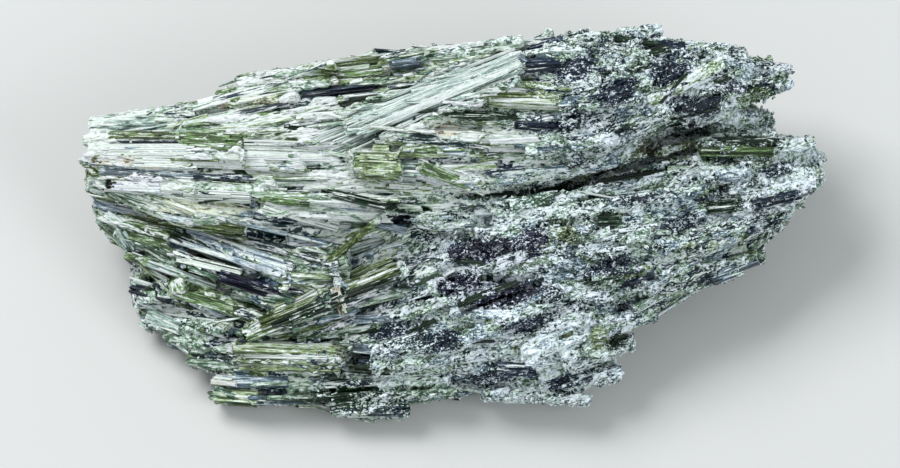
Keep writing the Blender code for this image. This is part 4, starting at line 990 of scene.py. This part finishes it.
class Rods:
    """Striated prisms along given axes, gathered for one mesh."""

    # How much the rings vary, how far broken ends lean, are hollowed and go in at most (as a share
    # of the length), and over what stretch of the pattern the rods are spread
    SLIM, LEAN, HUB, DEEPEST_BREAK, GRAIN_REACH = 0.06, 0.6, 0.15, 0.3, 60

    def __init__(self):
        self.points, self.faces, self.grain, self.grounds = [], [], [], []
        self.count = 0

    def add(self, starts, ends, facings, widths, thicknesses, ground, rng,
            rings=3, corners=8, ridge=0.1, ragged=0.5, square=0.55):
        """ridge is how deep the striations are, and ragged how uneven the broken ends, in widths;
        a rod is round in section at square 1, and boxier below it."""
        number = len(starts)
        length = np.linalg.norm(ends - starts, axis=1)[:, None, None]
        along = unit(ends - starts)
        side = unit(np.cross(along, facings))
        out = np.cross(side, along)
        turn = 2 * math.pi * (np.arange(corners) + 0.5) / corners
        across = np.sign(np.cos(turn)) * np.abs(np.cos(turn)) ** square
        height = np.sign(np.sin(turn)) * np.abs(np.sin(turn)) ** square
        swell = 1 + rng.uniform(-ridge, ridge, (number, 1, corners))
        slim = 1 + rng.uniform(-self.SLIM, self.SLIM, (number, rings, 1))
        x = across * widths[:, None, None] / 2 * swell * slim
        y = height * thicknesses[:, None, None] / 2 * swell * slim
        breaks = rng.uniform(0, ragged, (number, 2, corners)) * widths[:, None, None]
        lean = rng.uniform(-self.LEAN, self.LEAN, (number, 2, 1))
        deepest = self.DEEPEST_BREAK * length[:, 0]
        z = np.linspace(0, 1, rings)[None, :, None] * length + np.zeros((number, 1, corners))
        z[:, 0] += np.minimum(breaks[:, 0] + lean[:, 0] * x[:, 0], deepest)
        z[:, -1] -= np.minimum(breaks[:, 1] + lean[:, 1] * x[:, -1], deepest)
        place = np.stack((z, x, y), axis=-1)
        hubs = place[:, (0, -1)].mean(axis=2)
        hubs[:, 0, 0] += self.HUB * widths
        hubs[:, 1, 0] -= self.HUB * widths
        place = np.concatenate((place.reshape(number, -1, 3), hubs), axis=1)
        rod_axes = np.stack((along, side, out), axis=1)
        self.points.append((place @ rod_axes + starts[:, None]).reshape(-1, 3))
        self.grain.append((place + rng.uniform(0, self.GRAIN_REACH, (number, 1, 3))).reshape(-1, 3))
        per_rod = rings * corners + 2
        self.grounds.append(ground.picked(np.repeat(np.arange(number), per_rod)))
        self.add_faces(number, rings, corners, per_rod)

    def add_faces(self, number, rings, corners, per_rod):
        """Four-sided faces round each rod, and a fan from a hub over each end."""
        k = np.arange(corners)
        after = (k + 1) % corners
        sides = [
            np.stack((ring + k, ring + corners + k, ring + corners + after, ring + after), axis=1)
            for ring in range(0, (rings - 1) * corners, corners)
        ]
        last = (rings - 1) * corners
        hub = rings * corners
        caps = np.concatenate((
            np.stack((np.full(corners, hub), k, after), axis=1),
            np.stack((np.full(corners, hub + 1), last + after, last + k), axis=1),
        ))
        first = self.count + per_rod * np.arange(number)[:, None, None]
        self.faces.extend((np.concatenate(sides) + first).reshape(-1, 4).tolist())
        self.faces.extend((caps + first).reshape(-1, 3).tolist())
        self.count += per_rod * number

    def piece(self, name, material):
        mesh = bpy.data.meshes.new(name)
        points = np.concatenate(self.points)
        points[:, 2] = np.maximum(points[:, 2], LOWEST_POINT)
        mesh.from_pydata((points * MM).tolist(), [], self.faces)
        ground = self.grounds[0]
        for other in self.grounds[1:]:
            for key, values in vars(other).items():
                setattr(ground, key, np.concatenate((getattr(ground, key), values)))
        add_ground(mesh, ground, np.concatenate(self.grain))
        return finish_piece(name, mesh, material)


def clear_of_stated(points):
    """Whether each point is clear of the stated crystals, as seen on the broad face."""
    u, v, _ = to_face(points)
    clear = np.ones(len(u), bool)
    for _, start, end, width, *_ in BUNDLES:
        clear &= distance_to_path(u, v, np.array((start, end))) > width / 2 + STATED_MARGIN
    return clear


def lay_laths(solid, skin, rng, name, count, length, width, loose, material):
    """Flat laths sunk in the surface along the grain, where it is parallel or where it is loose."""
    points, normals = skin.scatter(count, rng)
    ground = Ground(points)
    chance = ground.scatter - LOOSE_CHANCE if loose else PARALLEL_CHANCE - ground.scatter
    keep = (rng.random(count) < chance) & (ground.crack < CRACK_EDGE)
    keep &= clear_of_stated(points) | (rng.random(count) < OVERLAPPING)
    keep &= np.abs(normals @ ALONG) < END_ON
    points, normals, ground = points[keep], normals[keep], ground.picked(keep)
    number = len(points)
    turn = LATH_TURN + LATH_TURN_LOOSE * ground.scatter
    along = grain_directions(normals, ground.slope, turn, rng)
    if loose:
        along = unit(along + rng.normal(0, LATH_TIP, (number, 1)) * normals)
    size = rng.lognormal(0, LATH_VARIETY, number) * (1 - LATH_SHORTER * ground.scatter)
    half = (length / 2 * size)[:, None]
    starts, start_met = solid.surface_at(points - along * half, normals)
    middles, met = solid.surface_at(points, normals)
    ends, end_met = solid.surface_at(points + along * half, normals)
    widths = width * rng.lognormal(0, LATH_VARIETY, number)
    thicknesses = widths * rng.uniform(*LATH_THICKNESS, number)
    sink = thicknesses / 2 - rng.uniform(*LATH_SHOWN, number)
    steep = np.abs(dots(unit(ends - starts), normals))[:, 0] > STEEPEST_LATH
    above = dots(middles - (starts + ends) / 2, normals)[:, 0]
    good = start_met & end_met & met & ~steep & (np.abs(above) < MOST_BENT)
    good &= np.minimum(starts[:, 2], ends[:, 2]) > thicknesses / 2 + GROUND_CLEARANCE
    lift = normals * (np.clip(above, *LATH_SHIFT) - sink)[:, None]
    ground.settle(rng, LATH_FROSTS)
    rods = Rods()
    rods.add((starts + lift)[good], (ends + lift)[good], normals[good], widths[good],
             thicknesses[good], ground.picked(good), rng)
    return rods.piece(name, material)


def strand_axes(solid, start, end, across, width, offsets, spans):
    """The ends of each strand of a stated crystal, all at one slope, without those off the piece."""
    shares = np.linspace(0, 1, BUNDLE_STEPS)
    middle = solid.known_heights(start + shares[:, None] * (end - start), shares)
    steepest = STEEPEST_STRAND * np.linalg.norm(end - start)
    slope = np.clip(np.polyfit(middle[:, 0], middle[:, 1], 1)[0], -steepest, steepest)
    level = np.mean(middle[:, 1] - slope * middle[:, 0])
    axes = []
    for offset, span in zip(offsets, spans):
        aside = across * offset * width
        shares = np.linspace(*span, BUNDLE_STEPS)
        known = solid.known_heights(start + shares[:, None] * (end - start) + aside, shares)
        if len(known) < 3:
            continue
        own = np.percentile(known[:, 1] - level - slope * known[:, 0], STRAND_PERCENTILE)
        if own < -DEEPEST_STRAND:
            continue
        own = np.clip(own, -STRAND_STEP, STRAND_STEP)
        chosen = known[(0, -1), 0]
        places = start + chosen[:, None] * (end - start) + aside
        axes.append(to_space(places[:, 0], places[:, 1], level + own + slope * chosen))
    return np.array(axes)


def lay_bundles(solid, rng, name, material):
    """The stated crystals, each as strands side by side along its axis."""
    rods = Rods()
    for _, start, end, width, strands, tint, frost, thickness in BUNDLES:
        start, end = np.array(start), np.array(end)
        along = unit(end - start)
        across = np.array((-along[1], along[0]))
        number = 2 * strands if strands > 1 else 1
        short = np.arange(number) % 2
        jitter = rng.uniform(-STRAND_JITTER, STRAND_JITTER, number)
        offsets = (np.arange(number) + 0.5) / number - 0.5 + jitter
        first = rng.uniform(0, STRAND_LATE, number) * short
        last = 1 - rng.uniform(0, STRAND_EARLY, number) * short
        spans = np.stack((first, last), axis=1)
        axes = strand_axes(solid, start, end, across, width, offsets, spans)
        starts, ends = axes[:, 0], axes[:, 1]
        number = len(axes)
        widths = width / strands * rng.uniform(*STRAND_WIDTH, number)
        thicknesses = thickness * rng.uniform(*STRAND_THICKNESS, number)
        lift = OUT * (rng.uniform(*STRAND_SHOWN, number) - thicknesses / 2)[:, None]
        facings = unit(OUT + rng.normal(0, STRAND_TWIST, (number, 3)))
        ground = Ground((starts + ends) / 2)
        ground.state(tint, frost, rng, STRAND_FROSTS, STRAND_CALM)
        rods.add(starts + lift, ends + lift, facings, widths, thicknesses, ground, rng,
                 rings=5, ragged=0.6)
    return rods.piece(name, material)


def lay_sheaf(solid, rng, name, material):
    """The band of fine straight fibres across the upper face, broken off at its right end."""
    number = SHEAF_FIBRES
    start, end = np.array(SHEAF_START), np.array(SHEAF_END)
    along = unit(end - start)
    across = np.array((-along[1], along[0]))
    offset = rng.uniform(-0.5, 0.5, number)
    first = rng.beta(*FIBRE_STARTS, number) * FIBRE_LATEST
    whole = rng.random(number) < FIBRES_WHOLE
    last = np.where(whole, rng.uniform(*WHOLE_END, number), rng.uniform(*SHORT_END, number))
    last = np.maximum(last, first + FIBRE_SHORTEST)
    fan = SHEAF_FAN - SHEAF_NARROWING * first
    begin = start + first[:, None] * (end - start) + across * (offset * SHEAF_WIDTH * fan)[:, None]
    finish = start + last[:, None] * (end - start) + across * (offset * SHEAF_WIDTH)[:, None]
    levels = []
    for place in (begin, finish):
        heights = [solid.face_height(*spot) for spot in place]
        levels.append(np.array([np.nan if height is None else height for height in heights]))
    keep = ~np.isnan(levels[0]) & ~np.isnan(levels[1])
    dome = SHEAF_DOME * np.sqrt(np.maximum(0, 1 - (2 * offset) ** 2))
    lift = dome + rng.uniform(*FIBRE_SHOWN, number)
    starts = to_space(begin[:, 0], begin[:, 1], levels[0] + lift * SHEAF_LOW_START)[keep]
    ends = to_space(finish[:, 0], finish[:, 1], levels[1] + lift)[keep]
    number = len(starts)
    widths = rng.uniform(*FIBRE_WIDTH, number)
    facings = unit(OUT + rng.normal(0, FIBRE_TWIST, (number, 3)))
    ground = Ground((starts + ends) / 2)
    ground.state("pale", SHEAF_FROST, rng, FIBRE_FROSTS, FIBRE_CALM)
    rods = Rods()
    rods.add(starts, ends, facings, widths, widths, ground, rng, rings=6, corners=6, ragged=0.4,
             square=0.8)
    return rods.piece(name, material)


def lay_crumbs(solid, skin, rng, name, material):
    """Small broken crumbs on the surface, more where the grain is scattered."""
    points, normals = skin.scatter(CRUMBS, rng)
    ground = Ground(points)
    keep = (rng.random(CRUMBS) < CRUMB_CHANCE + ground.scatter) & (ground.crack < CRACK_EDGE)
    points, met = solid.surface_at(points, normals)
    keep &= met
    points, normals, ground = points[keep], normals[keep], ground.picked(keep)
    number = len(points)
    turn = CRUMB_TURN + CRUMB_TURN_LOOSE * ground.scatter
    along = grain_directions(normals, ground.slope, turn, rng)
    along = unit(along + rng.normal(0, CRUMB_TIP, (number, 1)) * normals)
    longer = CRUMB_LONG - CRUMB_SHORTER * ground.scatter
    lengths = CRUMB_SIZE * rng.lognormal(0, CRUMB_LENGTHS, number) * longer
    widths = CRUMB_SIZE * rng.lognormal(0, CRUMB_WIDTHS, number) * CRUMB_NARROW
    thicknesses = widths * rng.uniform(*CRUMB_THICKNESS, number)
    facings = unit(normals + rng.normal(0, CRUMB_TWIST, (number, 3)))
    half = along * lengths[:, None] / 2
    starts, ends = points - half, points + half
    ground.frost = ground.frost + rng.normal(*CRUMB_FROSTS, number)
    high = np.minimum(starts[:, 2], ends[:, 2]) > thicknesses / 2 + GROUND_CLEARANCE
    rods = Rods()
    rods.add(starts[high], ends[high], facings[high], widths[high], thicknesses[high],
             ground.picked(high), rng, rings=2, corners=5, ridge=0.25, square=1.0)
    return rods.piece(name, material)


def pale_floor():
    material = bpy.data.materials.new("pale_floor")
    material.use_nodes = True
    shader = material.node_tree.nodes["Principled BSDF"]
    shader.inputs["Base Color"].default_value = FLOOR_COLOUR
    shader.inputs["Roughness"].default_value = FLOOR_ROUGHNESS
    mesh = bpy.data.meshes.new("floor")
    corners = [(x * FLOOR_HALF, y * FLOOR_HALF, 0) for x, y in ((-1, -1), (1, -1), (1, 1), (-1, 1))]
    mesh.from_pydata(corners, [], [(0, 1, 2, 3)])
    mesh.materials.append(material)
    floor = bpy.data.objects.new("floor", mesh)
    bpy.context.scene.collection.objects.link(floor)


def placed(name, data, place, direction):
    """A light or camera at a place, pointing in a direction."""
    obj = bpy.data.objects.new(name, data)
    obj.location = place
    obj.rotation_mode = "QUATERNION"
    obj.rotation_quaternion = direction.to_track_quat("-Z", "Y")
    bpy.context.scene.collection.objects.link(obj)
    return obj


def studio():
    world = bpy.data.worlds.new("studio")
    bpy.context.scene.world = world
    world.use_nodes = True
    background = world.node_tree.nodes["Background"]
    background.inputs["Color"].default_value = SKY
    background.inputs["Strength"].default_value = SKY_STRENGTH
    for name, place, size, watts, colour in LIGHTS:
        data = bpy.data.lights.new(name, "AREA")
        data.size = size
        data.energy = watts
        data.color = colour
        placed(name, data, place, -Vector(place))
    bpy.context.scene.view_settings.view_transform = "Standard"


def photo_camera():
    data = bpy.data.cameras.new("camera")
    data.lens = LENS
    data.sensor_width = SENSOR
    data.shift_x, data.shift_y = (shift / FRAME_WIDTH for shift in SHIFT)
    data.clip_end = CAMERA_REACH
    back = Vector(OUT)
    place = Vector(FACE_CENTRE * MM) + back * CAMERA_DISTANCE
    bpy.context.scene.camera = placed("camera", data, place, -back)


def main():
    rng = np.random.default_rng(SEED)
    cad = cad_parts[NODE]
    solid = Solid(cad)
    skin = Skin(cad)
    Ground.levels = solid.face_levels()
    crystal = crystal_material("actinolite")
    mass = finish_piece("crystal_mass", build_mass(cad), crystal)
    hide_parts(NODE)
    lay_bundles(solid, rng, "stated_laths", crystal)
    lay_sheaf(solid, rng, "sheaf", crystal)
    for lath_set in LATH_SETS:
        lay_laths(solid, skin, rng, *lath_set, crystal)
    lay_crumbs(solid, skin, rng, "crumbs", crystal)
    pale_floor()
    studio()
    photo_camera()


main()
